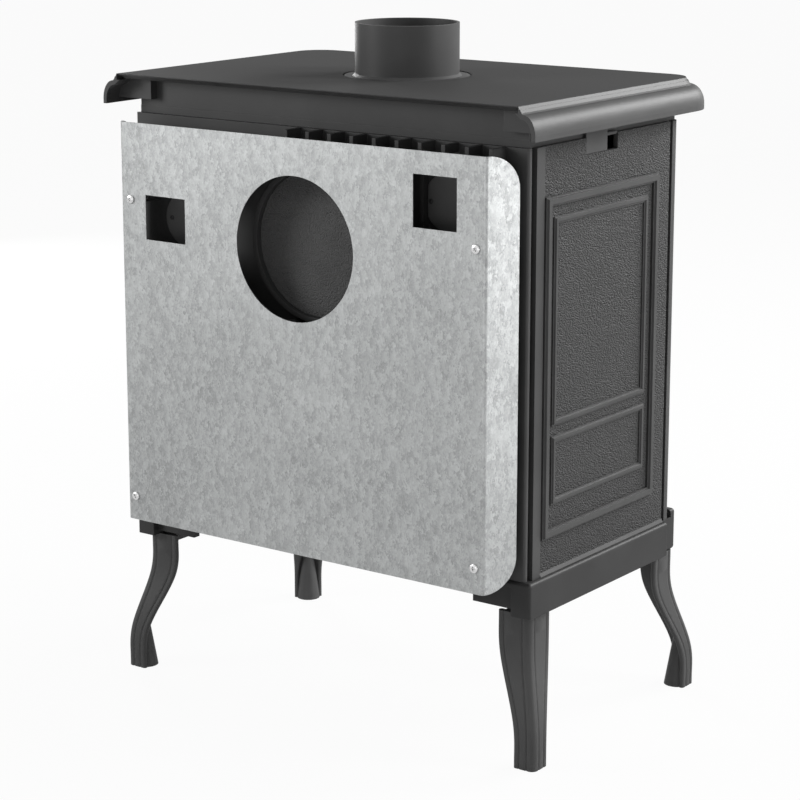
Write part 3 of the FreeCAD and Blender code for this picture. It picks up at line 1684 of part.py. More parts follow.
def air_slide_guides():
    y0 = slide_planes()[1] - running_gap
    guides = []
    for up in (1, -1):
        z_in = z_slide() + up * (slide_height / 2 + running_gap)
        zs = sorted((z_in, z_in + up * guide_height))
        zl = sorted((z_in - up * guide_lip, z_in + up * guide_height))
        body = block(-guide_half_length, guide_half_length, y0, y_front, zs[0], zs[1])
        lip = block(-guide_half_length, guide_half_length, y0 - guide_lip_thickness, y0, zl[0], zl[1])
        guides.append(body.fuse(lip).removeSplitter())
    return group(guides)


def all_nodes():
    left_air, right_air = air_places()
    left_rosette, right_rosette = rosette_places()
    right_panel = side_panel_right()
    right_liner = liner_right()
    nodes = legs()
    nodes.update({
        "leg_bolts": leg_bolts(),
        "base_frame": base_frame(),
        "front_rail": front_rail(),
        "front_rail_bolts": front_rail_bolts(),
        "bottom_plate": bottom_plate(),
        "tie_rods": tie_rods(),
        "side_panel_right": right_panel,
        "side_panel_left": mirrored(right_panel),
        "rear_wall": rear_wall(),
        "air_cover_left": air_cover(left_air),
        "air_cover_right": air_cover(right_air),
        "air_cover_screws": air_cover_screws(),
        "rear_flue_cover": rear_flue_cover(),
        "flue_cover_bar": flue_cover_bar(),
        "flue_cover_bolt": flue_cover_bolt(),
        "heat_shield": heat_shield(),
        "shield_spacers": shield_spacers(),
        "shield_screws": shield_screws(),
        "front_frame": front_frame(),
        "top_frame": top_frame(),
        "top_plate": top_plate(),
        "flue_spigot": flue_spigot(),
        "spigot_bolts": spigot_bolts(),
        "firebox_floor": firebox_floor(),
        "liner_right": right_liner,
        "liner_left": mirrored(right_liner),
        "liner_rear": liner_rear(),
        "baffle_plate": baffle_plate(),
        "log_retainer": log_retainer(),
        "riddling_grate": riddling_grate(),
        "riddling_rod": riddling_rod(),
        "riddling_knob": riddling_knob(),
        "door_frame": door_frame(),
        "door_glass": door_glass(),
        "glass_gasket": glass_gasket(),
        "glass_clips": glass_clips(),
        "clip_screws": clip_screws(),
        "door_gasket": door_gasket(),
        "hinge_pins": hinge_pins(),
        "handle_hub": handle_hub(),
        "handle_grip": handle_grip(),
        "latch_cam": latch_cam(),
        "latch_nut": latch_nut(),
        "drawer_runners": drawer_runners(),
        "ash_pan": ash_pan(),
        "drawer_front": drawer_front(),
        "drawer_screws": drawer_screws(),
        "drawer_knob": drawer_knob(),
        "air_rosette_left": air_rosette(left_rosette),
        "air_rosette_right": air_rosette(right_rosette),
        "rosette_pins": rosette_pins(),
        "air_slide": air_slide(),
        "slide_knob": slide_knob(),
        "air_slide_guides": air_slide_guides(),
    })
    return nodes


os.makedirs("parts", exist_ok=True)
for name, shape in all_nodes().items():
    shape.exportStep(os.path.join("parts", name + ".step"))
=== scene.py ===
import json
import math

import bmesh
import bpy
from mathutils import Matrix, Vector


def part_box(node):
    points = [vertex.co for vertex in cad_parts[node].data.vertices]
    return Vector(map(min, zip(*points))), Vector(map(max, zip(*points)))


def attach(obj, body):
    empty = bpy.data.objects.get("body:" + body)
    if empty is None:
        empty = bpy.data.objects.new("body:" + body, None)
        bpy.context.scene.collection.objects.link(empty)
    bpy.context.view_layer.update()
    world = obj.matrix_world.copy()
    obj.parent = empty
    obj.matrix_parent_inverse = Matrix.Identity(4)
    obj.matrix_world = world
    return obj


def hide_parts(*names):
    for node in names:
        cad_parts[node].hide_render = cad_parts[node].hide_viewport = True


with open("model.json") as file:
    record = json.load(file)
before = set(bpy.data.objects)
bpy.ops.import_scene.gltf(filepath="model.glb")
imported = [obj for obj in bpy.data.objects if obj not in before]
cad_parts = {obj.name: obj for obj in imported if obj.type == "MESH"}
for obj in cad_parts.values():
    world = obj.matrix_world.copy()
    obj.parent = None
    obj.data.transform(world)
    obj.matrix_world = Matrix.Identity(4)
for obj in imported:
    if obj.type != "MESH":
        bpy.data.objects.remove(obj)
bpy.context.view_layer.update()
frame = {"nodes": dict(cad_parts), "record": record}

# The CAD parts by name
nodes = frame["nodes"]

# Points closer together than this are one point
WELD = 0.00002


# Camera and studio
CAMERA_PLACE = (-2.0495, 2.8267, 1.2715)
CAMERA_HEADING = 0.6293
CAMERA_TILT = 0.2176
CAMERA_LENS = 109.64
CAMERA_SHIFT = -0.06
FLOOR_SIZE = 40.0
FLOOR_COLOUR = (0.5, 0.5, 0.5, 1)
BACKGROUND = (1, 1, 1, 1)
AMBIENT = 0.42
FLOOR_GLOW = 0.95


def place_camera():
    """Behind the stove, on its left, a little above the top."""
    data = bpy.data.cameras.new("camera")
    data.lens = CAMERA_LENS
    data.shift_y = CAMERA_SHIFT
    camera = bpy.data.objects.new("camera", data)
    bpy.context.scene.collection.objects.link(camera)
    level = math.cos(CAMERA_TILT)
    along_x, along_y = math.sin(CAMERA_HEADING) * level, -math.cos(CAMERA_HEADING) * level
    look = Vector((along_x, along_y, -math.sin(CAMERA_TILT)))
    camera.location = CAMERA_PLACE
    camera.rotation_euler = look.to_track_quat("-Z", "Y").to_euler()
    bpy.context.scene.camera = camera


def softbox(name, place, target, size, power):
    """A rectangular lamp that faces a target, with its width and height in metres and its power in watts."""
    data = bpy.data.lights.new(name, "AREA")
    data.shape = "RECTANGLE"
    data.size, data.size_y = size
    data.energy = power
    lamp = bpy.data.objects.new(name, data)
    bpy.context.scene.collection.objects.link(lamp)
    lamp.location = place
    lamp.rotation_euler = (Vector(target) - Vector(place)).to_track_quat("-Z", "Y").to_euler()


def light_studio():
    """A wide light high in front, upright ones at both sides, a small low one and weaker ones behind."""
    softbox("front_light", (-1.7, -3.3, 2.3), (0, 0, 0.7), (1.8, 1.0), 170)
    softbox("side_light", (-2.9, -1.3, 2.2), (-0.2, 0, 0.8), (1.0, 1.6), 76)
    softbox("right_light", (3.2, -1.9, 1.4), (0, 0, 0.5), (1.0, 2.2), 95)
    softbox("low_side_light", (-3.3, -0.6, 0.5), (-0.33, 0.24, 0.5), (0.8, 1.0), 18)
    softbox("rear_fill", (-1.2, 3.8, 0.6), (0, 0.2, 0.4), (2.4, 1.0), 14)
    softbox("rear_right_light", (2.3, 2.3, 1.6), (0.2, 0.2, 0.7), (1.2, 1.2), 54)


def put(tree, value, socket):
    """Links an output to a socket, or sets a plain value on it."""
    if isinstance(value, bpy.types.NodeSocket):
        tree.links.new(value, socket)
    else:
        socket.default_value = value


def join(tree, operation, first, second):
    """A maths node on two outputs or plain values."""
    node = tree.nodes.new("ShaderNodeMath")
    node.operation = operation
    for socket, value in zip(node.inputs, (first, second)):
        put(tree, value, socket)
    return node.outputs[0]


def view_ray_mask(tree):
    """One where the ray comes from the camera, a reflection or a pane of glass."""
    path = tree.nodes.new("ShaderNodeLightPath")
    first = join(tree, "MAXIMUM", path.outputs["Is Camera Ray"], path.outputs["Is Glossy Ray"])
    return join(tree, "MAXIMUM", first, path.outputs["Is Transmission Ray"])


def make_world():
    """White in view and in reflections, and a weaker even light on everything."""
    world = bpy.data.worlds.new("studio")
    bpy.context.scene.world = world
    world.use_nodes = True
    tree = world.node_tree
    tree.nodes.clear()
    out = tree.nodes.new("ShaderNodeOutputWorld")
    mix = tree.nodes.new("ShaderNodeMixShader")
    ambient = tree.nodes.new("ShaderNodeBackground")
    ambient.inputs["Strength"].default_value = AMBIENT
    white = tree.nodes.new("ShaderNodeBackground")
    white.inputs["Color"].default_value = BACKGROUND
    tree.links.new(view_ray_mask(tree), mix.inputs["Fac"])
    tree.links.new(ambient.outputs[0], mix.inputs[1])
    tree.links.new(white.outputs[0], mix.inputs[2])
    tree.links.new(mix.outputs[0], out.inputs["Surface"])


def make_floor():
    """A pale floor that stays near white in view and keeps the stove's soft shadow."""
    mesh = bpy.data.meshes.new("floor")
    half = FLOOR_SIZE / 2
    corners = [(-half, -half, 0), (half, -half, 0), (half, half, 0), (-half, half, 0)]
    mesh.from_pydata(corners, [], [(0, 1, 2, 3)])
    floor = bpy.data.objects.new("floor", mesh)
    bpy.context.scene.collection.objects.link(floor)
    material = bpy.data.materials.new("floor_paper")
    material.use_nodes = True
    tree = material.node_tree
    tree.nodes.clear()
    out = tree.nodes.new("ShaderNodeOutputMaterial")
    paper = tree.nodes.new("ShaderNodeBsdfDiffuse")
    paper.inputs["Color"].default_value = FLOOR_COLOUR
    glow = tree.nodes.new("ShaderNodeEmission")
    glow.inputs["Color"].default_value = BACKGROUND
    mix = tree.nodes.new("ShaderNodeMixShader")
    tree.links.new(join(tree, "MULTIPLY", view_ray_mask(tree), FLOOR_GLOW), mix.inputs["Fac"])
    tree.links.new(paper.outputs[0], mix.inputs[1])
    tree.links.new(glow.outputs[0], mix.inputs[2])
    tree.links.new(mix.outputs[0], out.inputs["Surface"])
    mesh.materials.append(material)


# Shared surface effects: scales are counts per metre, shares are parts of a sum
SWELL_SHARE = 0.8
SKIN_CLOUD_SCALE = 9.0
GRAIN_STRETCH = (1, 0.55, 1)
LUMP_SMOOTHNESS = 0.5
BROKEN_SCALE = 0.9
BROKEN_SHARE = 1.1
# Edge mask: rubbed metal on plated, lacquered and brick parts, and a painted highlight on the stove paint
EDGE_COSINES = (0.98, 0.75)
EDGE_PATCH_SCALE = 45.0
EDGE_PATCH_TONES = (0.4, 0.65)
EDGE_PATCH_LEVELS = (0.2, 1.0)
SPANGLE_STRETCH = (1, 1, 0.62)
SPANGLE_FEATHER = (0.016, 0.016, 0.016)
SPANGLE_SMOOTHNESS = 0.2
SPANGLE_CLOUD_SCALE = 6.0
CRYSTAL_SHARE = 0.26
MOTTLE_SHARE = 0.55
SPANGLE_CLOUD_SHARE = 0.3


def new_group(name, inputs, outputs):
    """An empty shader group with named float inputs and named outputs."""
    group = bpy.data.node_groups.new(name, "ShaderNodeTree")
    for label, value in inputs.items():
        socket = group.interface.new_socket(label, in_out="INPUT", socket_type="NodeSocketFloat")
        socket.default_value = value
    for label, kind in outputs.items():
        group.interface.new_socket(label, in_out="OUTPUT", socket_type=kind)
    return group, group.nodes.new("NodeGroupInput").outputs, group.nodes.new("NodeGroupOutput").inputs


def vector_math(tree, operation, *values):
    """A vector maths node on outputs or plain vectors."""
    node = tree.nodes.new("ShaderNodeVectorMath")
    node.operation = operation
    for socket, value in zip(node.inputs, values):
        put(tree, value, socket)
    return node.outputs["Value" if operation == "DOT_PRODUCT" else "Vector"]


def part_place(tree, stretch=(1, 1, 1)):
    """The part's own coordinates, times a stretch along each axis."""
    place = tree.nodes.new("ShaderNodeTexCoord").outputs["Object"]
    return vector_math(tree, "MULTIPLY", place, stretch)


def noise(tree, scale, detail, roughness=0.5, output="Fac", place=None):
    """Noise in the part's own coordinates, or in a given place."""
    node = tree.nodes.new("ShaderNodeTexNoise")
    tree.links.new(place or part_place(tree), node.inputs["Vector"])
    put(tree, scale, node.inputs["Scale"])
    put(tree, detail, node.inputs["Detail"])
    put(tree, roughness, node.inputs["Roughness"])
    return node.outputs[output]


def cells(tree, scale, feature, output, smooth=None, place=None):
    """A pattern of cells in the part's own coordinates, or in a given place."""
    node = tree.nodes.new("ShaderNodeTexVoronoi")
    node.feature = feature
    tree.links.new(place or part_place(tree), node.inputs["Vector"])
    put(tree, scale, node.inputs["Scale"])
    if smooth is not None:
        put(tree, smooth, node.inputs["Smoothness"])
    return node.outputs[output]


def remap(tree, value, low, high, to_low=0.0, to_high=1.0):
    """A value between low and high, moved to the range between two other values and kept inside it."""
    node = tree.nodes.new("ShaderNodeMapRange")
    for socket, given in zip(node.inputs, (value, low, high, to_low, to_high)):
        put(tree, given, socket)
    return node.outputs[0]


def cast_skin_group():
    """Height of a sand-cast skin under paint, and the faint cloud of tone that goes with it."""
    group, given, result = new_group("cast_skin", {"Grain": 700.0, "Swell": 60.0},
                                     {"Height": "NodeSocketFloat", "Cloud": "NodeSocketFloat"})
    fine = noise(group, given["Grain"], 3.0, 0.6)
    swell = noise(group, given["Swell"], 2.0)
    group.links.new(join(group, "ADD", fine, join(group, "MULTIPLY", swell, SWELL_SHARE)), result["Height"])
    group.links.new(noise(group, SKIN_CLOUD_SCALE, 3.0), result["Cloud"])
    return group


def hammered_group():
    """Height of the leather-like ground between a casting's mouldings."""
    group, given, result = new_group("hammered_ground", {"Scale": 210.0}, {"Height": "NodeSocketFloat"})
    place = part_place(group, GRAIN_STRETCH)
    lumps = cells(group, given["Scale"], "SMOOTH_F1", "Distance", LUMP_SMOOTHNESS, place)
    broken = noise(group, join(group, "MULTIPLY", given["Scale"], BROKEN_SCALE), 1.0, place=place)
    ridges = join(group, "MULTIPLY", broken, BROKEN_SHARE)
    group.links.new(join(group, "SUBTRACT", ridges, lumps), result["Height"])
    return group


def edge_group():
    """Mask of the outer edges, and the rounded edge's normal. The mask marks rubbed metal on plated,
    lacquered and brick parts, and a painted highlight on the stove paint.
    An edge shows where the rounded normal leaves the flat one by more than an angle."""
    group, given, result = new_group("worn_and_highlit_edges", {"Radius": 0.002, "Amount": 1.0},
                                     {"Mask": "NodeSocketFloat", "Round": "NodeSocketVector"})
    round_off = group.nodes.new("ShaderNodeBevel")
    round_off.samples = 4
    group.links.new(given["Radius"], round_off.inputs["Radius"])
    flat = group.nodes.new("ShaderNodeNewGeometry")
    same = vector_math(group, "DOT_PRODUCT", round_off.outputs[0], flat.outputs["Normal"])
    off = remap(group, same, *EDGE_COSINES)
    patches = remap(group, noise(group, EDGE_PATCH_SCALE, 4.0, 0.6), *EDGE_PATCH_TONES, *EDGE_PATCH_LEVELS)
    at_edges = join(group, "MULTIPLY", off, patches)
    group.links.new(join(group, "MULTIPLY", at_edges, given["Amount"]), result["Mask"])
    group.links.new(round_off.outputs[0], result["Round"])
    return group


def spangle_group():
    """Tone of a zinc coat: small crystals of slightly different brightness, mottling and faint clouds."""
    group, given, result = new_group("zinc_spangle", {"Crystals": 180.0, "Mottle": 330.0},
                                     {"Tone": "NodeSocketFloat", "Height": "NodeSocketFloat"})
    place = part_place(group, SPANGLE_STRETCH)
    feather = noise(group, given["Mottle"], 2.0, 0.6, "Color", place)
    feathered = vector_math(group, "MULTIPLY_ADD", feather, SPANGLE_FEATHER, place)
    colours = cells(group, given["Crystals"], "SMOOTH_F1", "Color", SPANGLE_SMOOTHNESS, feathered)
    crystals = group.nodes.new("ShaderNodeSeparateColor")
    group.links.new(colours, crystals.inputs[0])
    mottle = noise(group, given["Mottle"], 4.0, 0.7, place=place)
    cloud = noise(group, SPANGLE_CLOUD_SCALE, 3.0)
    tone = join(group, "MULTIPLY", crystals.outputs[0], CRYSTAL_SHARE)
    tone = join(group, "ADD", tone, join(group, "MULTIPLY", mottle, MOTTLE_SHARE))
    tone = join(group, "ADD", tone, join(group, "MULTIPLY", cloud, SPANGLE_CLOUD_SHARE))
    group.links.new(tone, result["Tone"])
    group.links.new(mottle, result["Height"])
    return group


cast_skin = cast_skin_group()
hammered = hammered_group()
worn_and_highlit_edges = edge_group()
spangle = spangle_group()


# Materials
def new_material(name):
    """A new material, its nodes and its main shader."""
    material = bpy.data.materials.new(name)
    material.use_nodes = True
    tree = material.node_tree
    return material, tree, tree.nodes["Principled BSDF"]


def use_group(tree, group, **inputs):
    """The outputs of a shared effect, with some of its inputs set."""
    node = tree.nodes.new("ShaderNodeGroup")
    node.node_tree = group
    for label, value in inputs.items():
        put(tree, value, node.inputs[label])
    return node.outputs


def mix_colour(tree, factor, first, second):
    """The first colour where the factor is nought, the second where it is one."""
    node = tree.nodes.new("ShaderNodeMix")
    node.data_type = "RGBA"
    put(tree, factor, node.inputs["Factor"])
    put(tree, first, node.inputs["A"])
    put(tree, second, node.inputs["B"])
    return node.outputs["Result"]


def bump(tree, height, depth, normal=None):
    """The normal of a surface with this height, in metres of depth, on top of another normal."""
    node = tree.nodes.new("ShaderNodeBump")
    node.inputs["Distance"].default_value = depth
    tree.links.new(height, node.inputs["Height"])
    if normal is not None:
        tree.links.new(normal, node.inputs["Normal"])
    return node.outputs["Normal"]


def grey(value):
    """A neutral colour."""
    return (value, value, value, 1)


# Stove paint: tones, ranges of the shared effects' values, and depths and radii in metres
PAINT_DARK = 0.05
PAINT_LIGHT = 0.062
# Colour of the painted highlight that lightens the edges of the stove paint
PAINT_EDGE_HIGHLIGHT = grey(0.15)
PAINT_CLOUD = (0.35, 0.65)
PAINT_SHEEN = 0.05
PAINT_ROUGHNESS = (0.38, 0.5)
PAINT_EDGE = 0.002
# Strength of that painted highlight on the edges
EDGE_HIGHLIGHT_AMOUNT = 0.5
COAT_ROUGHNESS = 0.47
SKIN_HEIGHTS = (0.5, 1.3)
SKIN_DEPTH = 0.00016
HAMMERED_DEPTH = 0.0017
FLAT_LIMITS = (0.0002, 0.0006)


def flat_mask(tree, axis, ground):
    """One on flat faces that lie across an axis at this distance from the origin, on either side of it,
    and nought elsewhere."""
    place = tree.nodes.new("ShaderNodeTexCoord")
    split = tree.nodes.new("ShaderNodeSeparateXYZ")
    tree.links.new(place.outputs["Object"], split.inputs[0])
    side = join(tree, "ABSOLUTE", split.outputs[axis], 0.0)
    off = join(tree, "ABSOLUTE", join(tree, "SUBTRACT", side, ground), 0.0)
    return remap(tree, off, *FLAT_LIMITS, 1.0, 0.0)


def painted_casting(name, gloss, tone=1.0, edge=PAINT_EDGE, grain=None, ground=None):
    """Matt grey-black stove paint on cast iron, with a thin gloss and a painted highlight on its edges. Edge
    is the radius of its edges, and grain the scale of a hammered ground. Tone below one is painted shade,
    above one painted light. Ground is a flat face: its axis, its place, the tone of its painted shade, and
    its gloss."""
    material, tree, shader = new_material(name)
    skin = use_group(tree, cast_skin)
    edges = use_group(tree, worn_and_highlit_edges, Radius=edge, Amount=EDGE_HIGHLIGHT_AMOUNT)
    dark, light = grey(PAINT_DARK * tone), grey(PAINT_LIGHT * tone)
    paint = mix_colour(tree, remap(tree, skin["Cloud"], *PAINT_CLOUD), dark, light)
    # Lighter edges: a painted highlight along the casting's edges
    paint = mix_colour(tree, edges["Mask"], paint, PAINT_EDGE_HIGHLIGHT)
    tree.links.new(remap(tree, skin["Height"], *SKIN_HEIGHTS, *PAINT_ROUGHNESS), shader.inputs["Roughness"])
    # The coat carries the gloss of smooth castings, and the others keep a faint sheen of their own
    shader.inputs["Specular IOR Level"].default_value = 0.0 if gloss and grain is None else PAINT_SHEEN
    shader.inputs["Coat Weight"].default_value = gloss
    shader.inputs["Coat Roughness"].default_value = COAT_ROUGHNESS
    normal = bump(tree, skin["Height"], SKIN_DEPTH, edges["Round"])
    flat = 1.0
    if ground is not None:
        axis, place, flat_shade, flat_gloss = ground
        flat = flat_mask(tree, axis, place)
        # The flat face gets the paint at its own tone: a painted shade
        paint = mix_colour(tree, flat, paint, grey(PAINT_LIGHT * flat_shade))
        tree.links.new(remap(tree, flat, 0.0, 1.0, gloss, flat_gloss), shader.inputs["Coat Weight"])
    if grain is not None:
        height = join(tree, "MULTIPLY", use_group(tree, hammered, Scale=grain)["Height"], flat)
        normal = bump(tree, height, HAMMERED_DEPTH, normal)
    tree.links.new(paint, shader.inputs["Base Color"])
    tree.links.new(normal, shader.inputs["Normal"])
    return material


# Zinc: the range of the shared effect's tone, and the depth of its crystals in metres
ZINC_TONES = (0.32, 0.82)
ZINC_DEPTH = 0.0001


def zinc_coat(name, metal, dark, light, roughness, **scales):
    """A zinc coat whose light crystals are smoother than its dark ones.
    Scales are those of the shared effect."""
    material, tree, shader = new_material(name)
    zinc = use_group(tree, spangle, **scales)
    tone = remap(tree, zinc["Tone"], *ZINC_TONES)
    tree.links.new(mix_colour(tree, tone, dark, light), shader.inputs["Base Color"])
    tree.links.new(remap(tree, zinc["Tone"], *ZINC_TONES, *roughness), shader.inputs["Roughness"])
    shader.inputs["Metallic"].default_value = metal
    return material, tree, shader, zinc


def galvanised_sheet():
    """The heat shield's dull zinc, with its crystals in slight relief."""
    dark, light = (0.24, 0.246, 0.246, 1), (0.48, 0.491, 0.491, 1)
    material, tree, shader, zinc = zinc_coat("galvanised_sheet", 0.75, dark, light, (0.5, 0.38))
    tree.links.new(bump(tree, zinc["Height"], ZINC_DEPTH), shader.inputs["Normal"])
    return material


def bright_zinc():
    """Bright plating of screws, bolts, pins and small fittings."""
    dark, light = grey(0.55), grey(0.72)
    return zinc_coat("bright_zinc", 1.0, dark, light, (0.34, 0.22), Crystals=400.0, Mottle=900.0)[0]


# Range of a noise that is stretched over the whole of a colour or roughness
MIDDLE = (0.3, 0.7)


def satin_nickel():
    """Plating of the handle, knobs, rosettes and air slide, rubbed bright at the edges."""
    material, tree, shader = new_material("satin_nickel")
    edges = use_group(tree, worn_and_highlit_edges, Radius=0.001, Amount=0.5)
    haze = noise(tree, 240.0, 5.0, 0.7)
    dull, bright, rubbed = (0.4, 0.385, 0.355, 1), (0.47, 0.45, 0.415, 1), (0.56, 0.54, 0.5, 1)
    plate = mix_colour(tree, haze, dull, bright)
    tree.links.new(mix_colour(tree, edges["Mask"], plate, rubbed), shader.inputs["Base Color"])
    tree.links.new(remap(tree, haze, *MIDDLE, 0.2, 0.32), shader.inputs["Roughness"])
    shader.inputs["Metallic"].default_value = 1.0
    return material


def black_sheet():
    """Black lacquer on sheet steel, rubbed to bare steel at the edges."""
    material, tree, shader = new_material("black_sheet")
    edges = use_group(tree, worn_and_highlit_edges, Radius=0.001, Amount=0.8)
    haze = noise(tree, 30.0, 4.0)
    dark, light, steel = grey(0.035), grey(0.055), grey(0.22)
    lacquer = mix_colour(tree, haze, dark, light)
    tree.links.new(mix_colour(tree, edges["Mask"], lacquer, steel), shader.inputs["Base Color"])
    tree.links.new(remap(tree, haze, *MIDDLE, 0.38, 0.55), shader.inputs["Roughness"])
    tree.links.new(bump(tree, noise(tree, 900.0, 2.0), 0.00005), shader.inputs["Normal"])
    return material


def fire_brick():
    """Pale fired clay with coarse grains and pits."""
    material, tree, shader = new_material("fire_brick")
    grains = cells(tree, 520.0, "F1", "Distance")
    cloud = noise(tree, 30.0, 5.0)
    edges = use_group(tree, worn_and_highlit_edges, Radius=0.003, Amount=0.6)
    dark, light = (0.42, 0.33, 0.22, 1), (0.56, 0.46, 0.33, 1)
    grain, at_edges = (0.66, 0.58, 0.44, 1), (0.68, 0.6, 0.47, 1)
    clay = mix_colour(tree, remap(tree, cloud, *MIDDLE), dark, light)
    clay = mix_colour(tree, remap(tree, grains, 0.0, 0.35, 0.5, 0.0), clay, grain)
    tree.links.new(mix_colour(tree, edges["Mask"], clay, at_edges), shader.inputs["Base Color"])
    shader.inputs["Roughness"].default_value = 0.9
    pits = join(tree, "ADD", grains, noise(tree, 160.0, 5.0, 0.7))
    tree.links.new(bump(tree, pits, 0.0012), shader.inputs["Normal"])
    return material


def stove_glass():
    """Clear glass with a faint brown film of smoke."""
    material, tree, shader = new_material("stove_glass")
    smoke = noise(tree, 5.0, 3.0)
    clear, smoked = (0.93, 0.9, 0.85, 1), (0.86, 0.82, 0.75, 1)
    tree.links.new(mix_colour(tree, smoke, clear, smoked), shader.inputs["Base Color"])
    tree.links.new(remap(tree, smoke, *MIDDLE, 0.01, 0.05), shader.inputs["Roughness"])
    shader.inputs["Transmission Weight"].default_value = 1.0
    shader.inputs["IOR"].default_value = 1.48
    return material


def rope_seal():
    """Grey fibre of the seals round the door and its glass."""
    material, tree, shader = new_material("rope_seal")
    strands = noise(tree, 700.0, 3.0)
    dark, light = (0.3, 0.29, 0.27, 1), (0.52, 0.5, 0.47, 1)
    tree.links.new(mix_colour(tree, strands, dark, light), shader.inputs["Base Color"])
    shader.inputs["Roughness"].default_value = 0.95
    tree.links.new(bump(tree, strands, 0.0006), shader.inputs["Normal"])
    return material


# Distance of the side panels' ground from the middle of the stove, and height of the flat top
PANEL_GROUND = 0.3426
TOP_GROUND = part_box("top_plate")[1][2]

# Base frame and front rail: the stove paint darkened, a painted shade for the weaker light low down
base_shaded_paint = painted_casting("base_shaded_paint", gloss=0.38, tone=0.58)
# Top plate: its flat top gets the paint a little darker, a painted shade, and a thinner gloss
top_paint = painted_casting("top_paint", gloss=0.42, ground=("Z", TOP_GROUND, 0.9, 0.12))
# Side panels: the paint darkened, and the flat hammered ground darker still and without gloss, as painted
# shade
panel_paint = painted_casting("hammered_paint", gloss=0.3, tone=0.85, edge=0.0005, grain=560.0,
                              ground=("X", PANEL_GROUND, 0.75, 0.0))
# Rear flue cover and air inlet covers: the paint lightened, a painted light where little lamp light reaches
# them
cover_lit_paint = painted_casting("cover_lit_paint", gloss=0.0, tone=1.75, edge=0.0015, grain=450.0)
inlet_lit_paint = painted_casting("inlet_lit_paint", gloss=0.0, tone=2.5)
finishes = {
    "cast_iron": painted_casting("stove_paint", gloss=0.42),
    "galvanised_sheet": galvanised_sheet(),
    "zinc_steel": bright_zinc(),
    "sheet_steel": black_sheet(),
    "nickel": satin_nickel(),
    "fire_brick": fire_brick(),
    "stove_glass": stove_glass(),
    "rope": rope_seal(),
}
# Parts that get copies of the stove paint with painted shade (base, top, side panels) and painted light (flue
# and inlet covers)
paints_with_light_and_shade = {
    "side_panel_right": panel_paint,
    "side_panel_left": panel_paint,
    "rear_flue_cover": cover_lit_paint,
    "air_cover_left": inlet_lit_paint,
    "air_cover_right": inlet_lit_paint,
    "base_frame": base_shaded_paint,
    "front_rail": base_shaded_paint,
    "top_plate": top_paint,
}


def dress(node, material):
    """Gives a CAD node one material."""
    data = nodes[node].data
    data.materials.clear()
    data.materials.append(material)


for row in frame["record"]["subparts"]:
    name = row["node"]
    dress(name, paints_with_light_and_shade.get(name, finishes[row["material_slot"]]))


# Edges of the legs that bend more than this stay sharp
LEG_CREASE = math.radians(58)


def smooth_casting():
    """Modifier tree that joins the points of a casting's faces and keeps only its true creases sharp."""
    tree = bpy.data.node_groups.new("smooth_casting", "GeometryNodeTree")
    for way in ("INPUT", "OUTPUT"):
        tree.interface.new_socket("Geometry", in_out=way, socket_type="NodeSocketGeometry")
    joined = tree.nodes.new("GeometryNodeMergeByDistance")
    joined.inputs["Distance"].default_value = WELD
    plain = tree.nodes.new("GeometryNodeRemoveAttribute")
    plain.inputs["Name"].default_value = "custom_normal"
    crease = tree.nodes.new("FunctionNodeCompare")
    angle = tree.nodes.new("GeometryNodeInputMeshEdgeAngle")
    tree.links.new(angle.outputs["Unsigned Angle"], crease.inputs["A"])
    crease.inputs["B"].default_value = LEG_CREASE
    smooth = tree.nodes.new("GeometryNodeSetShadeSmooth")
    sharp = tree.nodes.new("GeometryNodeSetShadeSmooth")
    sharp.domain = "EDGE"
    sharp.inputs["Shade Smooth"].default_value = False
    tree.links.new(crease.outputs["Result"], sharp.inputs["Selection"])
    line = [tree.nodes.new("NodeGroupInput"), joined, plain, smooth, sharp, tree.nodes.new("NodeGroupOutput")]
    for first, second in zip(line, line[1:]):
        tree.links.new(first.outputs[0], second.inputs[0])
    return tree


casting_smoother = smooth_casting()
for name in ("leg_rear_right", "leg_rear_left", "leg_front_right", "leg_front_left"):
    nodes[name].modifiers.new("smooth_casting", "NODES").node_group = casting_smoother


# Pieces in place of plain CAD solids, whose edges stay sharp above this bend
CREASE = math.radians(35)


def solids_of(node):
    """Lowest and highest corner of each separate solid of a CAD node."""
    mesh = bmesh.new()
    mesh.from_mesh(nodes[node].data)
    bmesh.ops.remove_doubles(mesh, verts=mesh.verts, dist=WELD)
    unseen = set(mesh.verts)
    boxes = []
    while unseen:
        waiting = [unseen.pop()]
        found = []
        while waiting:
            vert = waiting.pop()
            found.append(vert.co.copy())
            for edge in vert.link_edges:
                other = edge.other_vert(vert)
                if other in unseen:
                    unseen.discard(other)
                    waiting.append(other)
        boxes.append((tuple(map(min, zip(*found))), tuple(map(max, zip(*found)))))
    mesh.free()
    return [(Vector(low), Vector(high)) for low, high in sorted(boxes)]


def skin(mesh, rings, closed=False):
    """Faces between rings of points, where a ring of one point is a tip.
    Closed joins the last ring to the first."""
    rows = [[mesh.verts.new(point) for point in ring] for ring in rings]
    pairs = list(zip(rows, rows[1:]))
    if closed:
        pairs.append((rows[-1], rows[0]))
    for low, high in pairs:
        count = max(len(low), len(high))
        for k in range(count):
            after = (k + 1) % count
            corners = (low[k % len(low)], low[after % len(low)], high[after % len(high)], high[k % len(high)])
            mesh.faces.new(list(dict.fromkeys(corners)))


def circle(radius, height, sides=32):
    """A ring of points at a height, or a single one if it has no radius."""
    if radius == 0:
        return [(0, 0, height)]
    turns = [2 * math.pi * k / sides for k in range(sides)]
    return [(radius * math.cos(a), radius * math.sin(a), height) for a in turns]


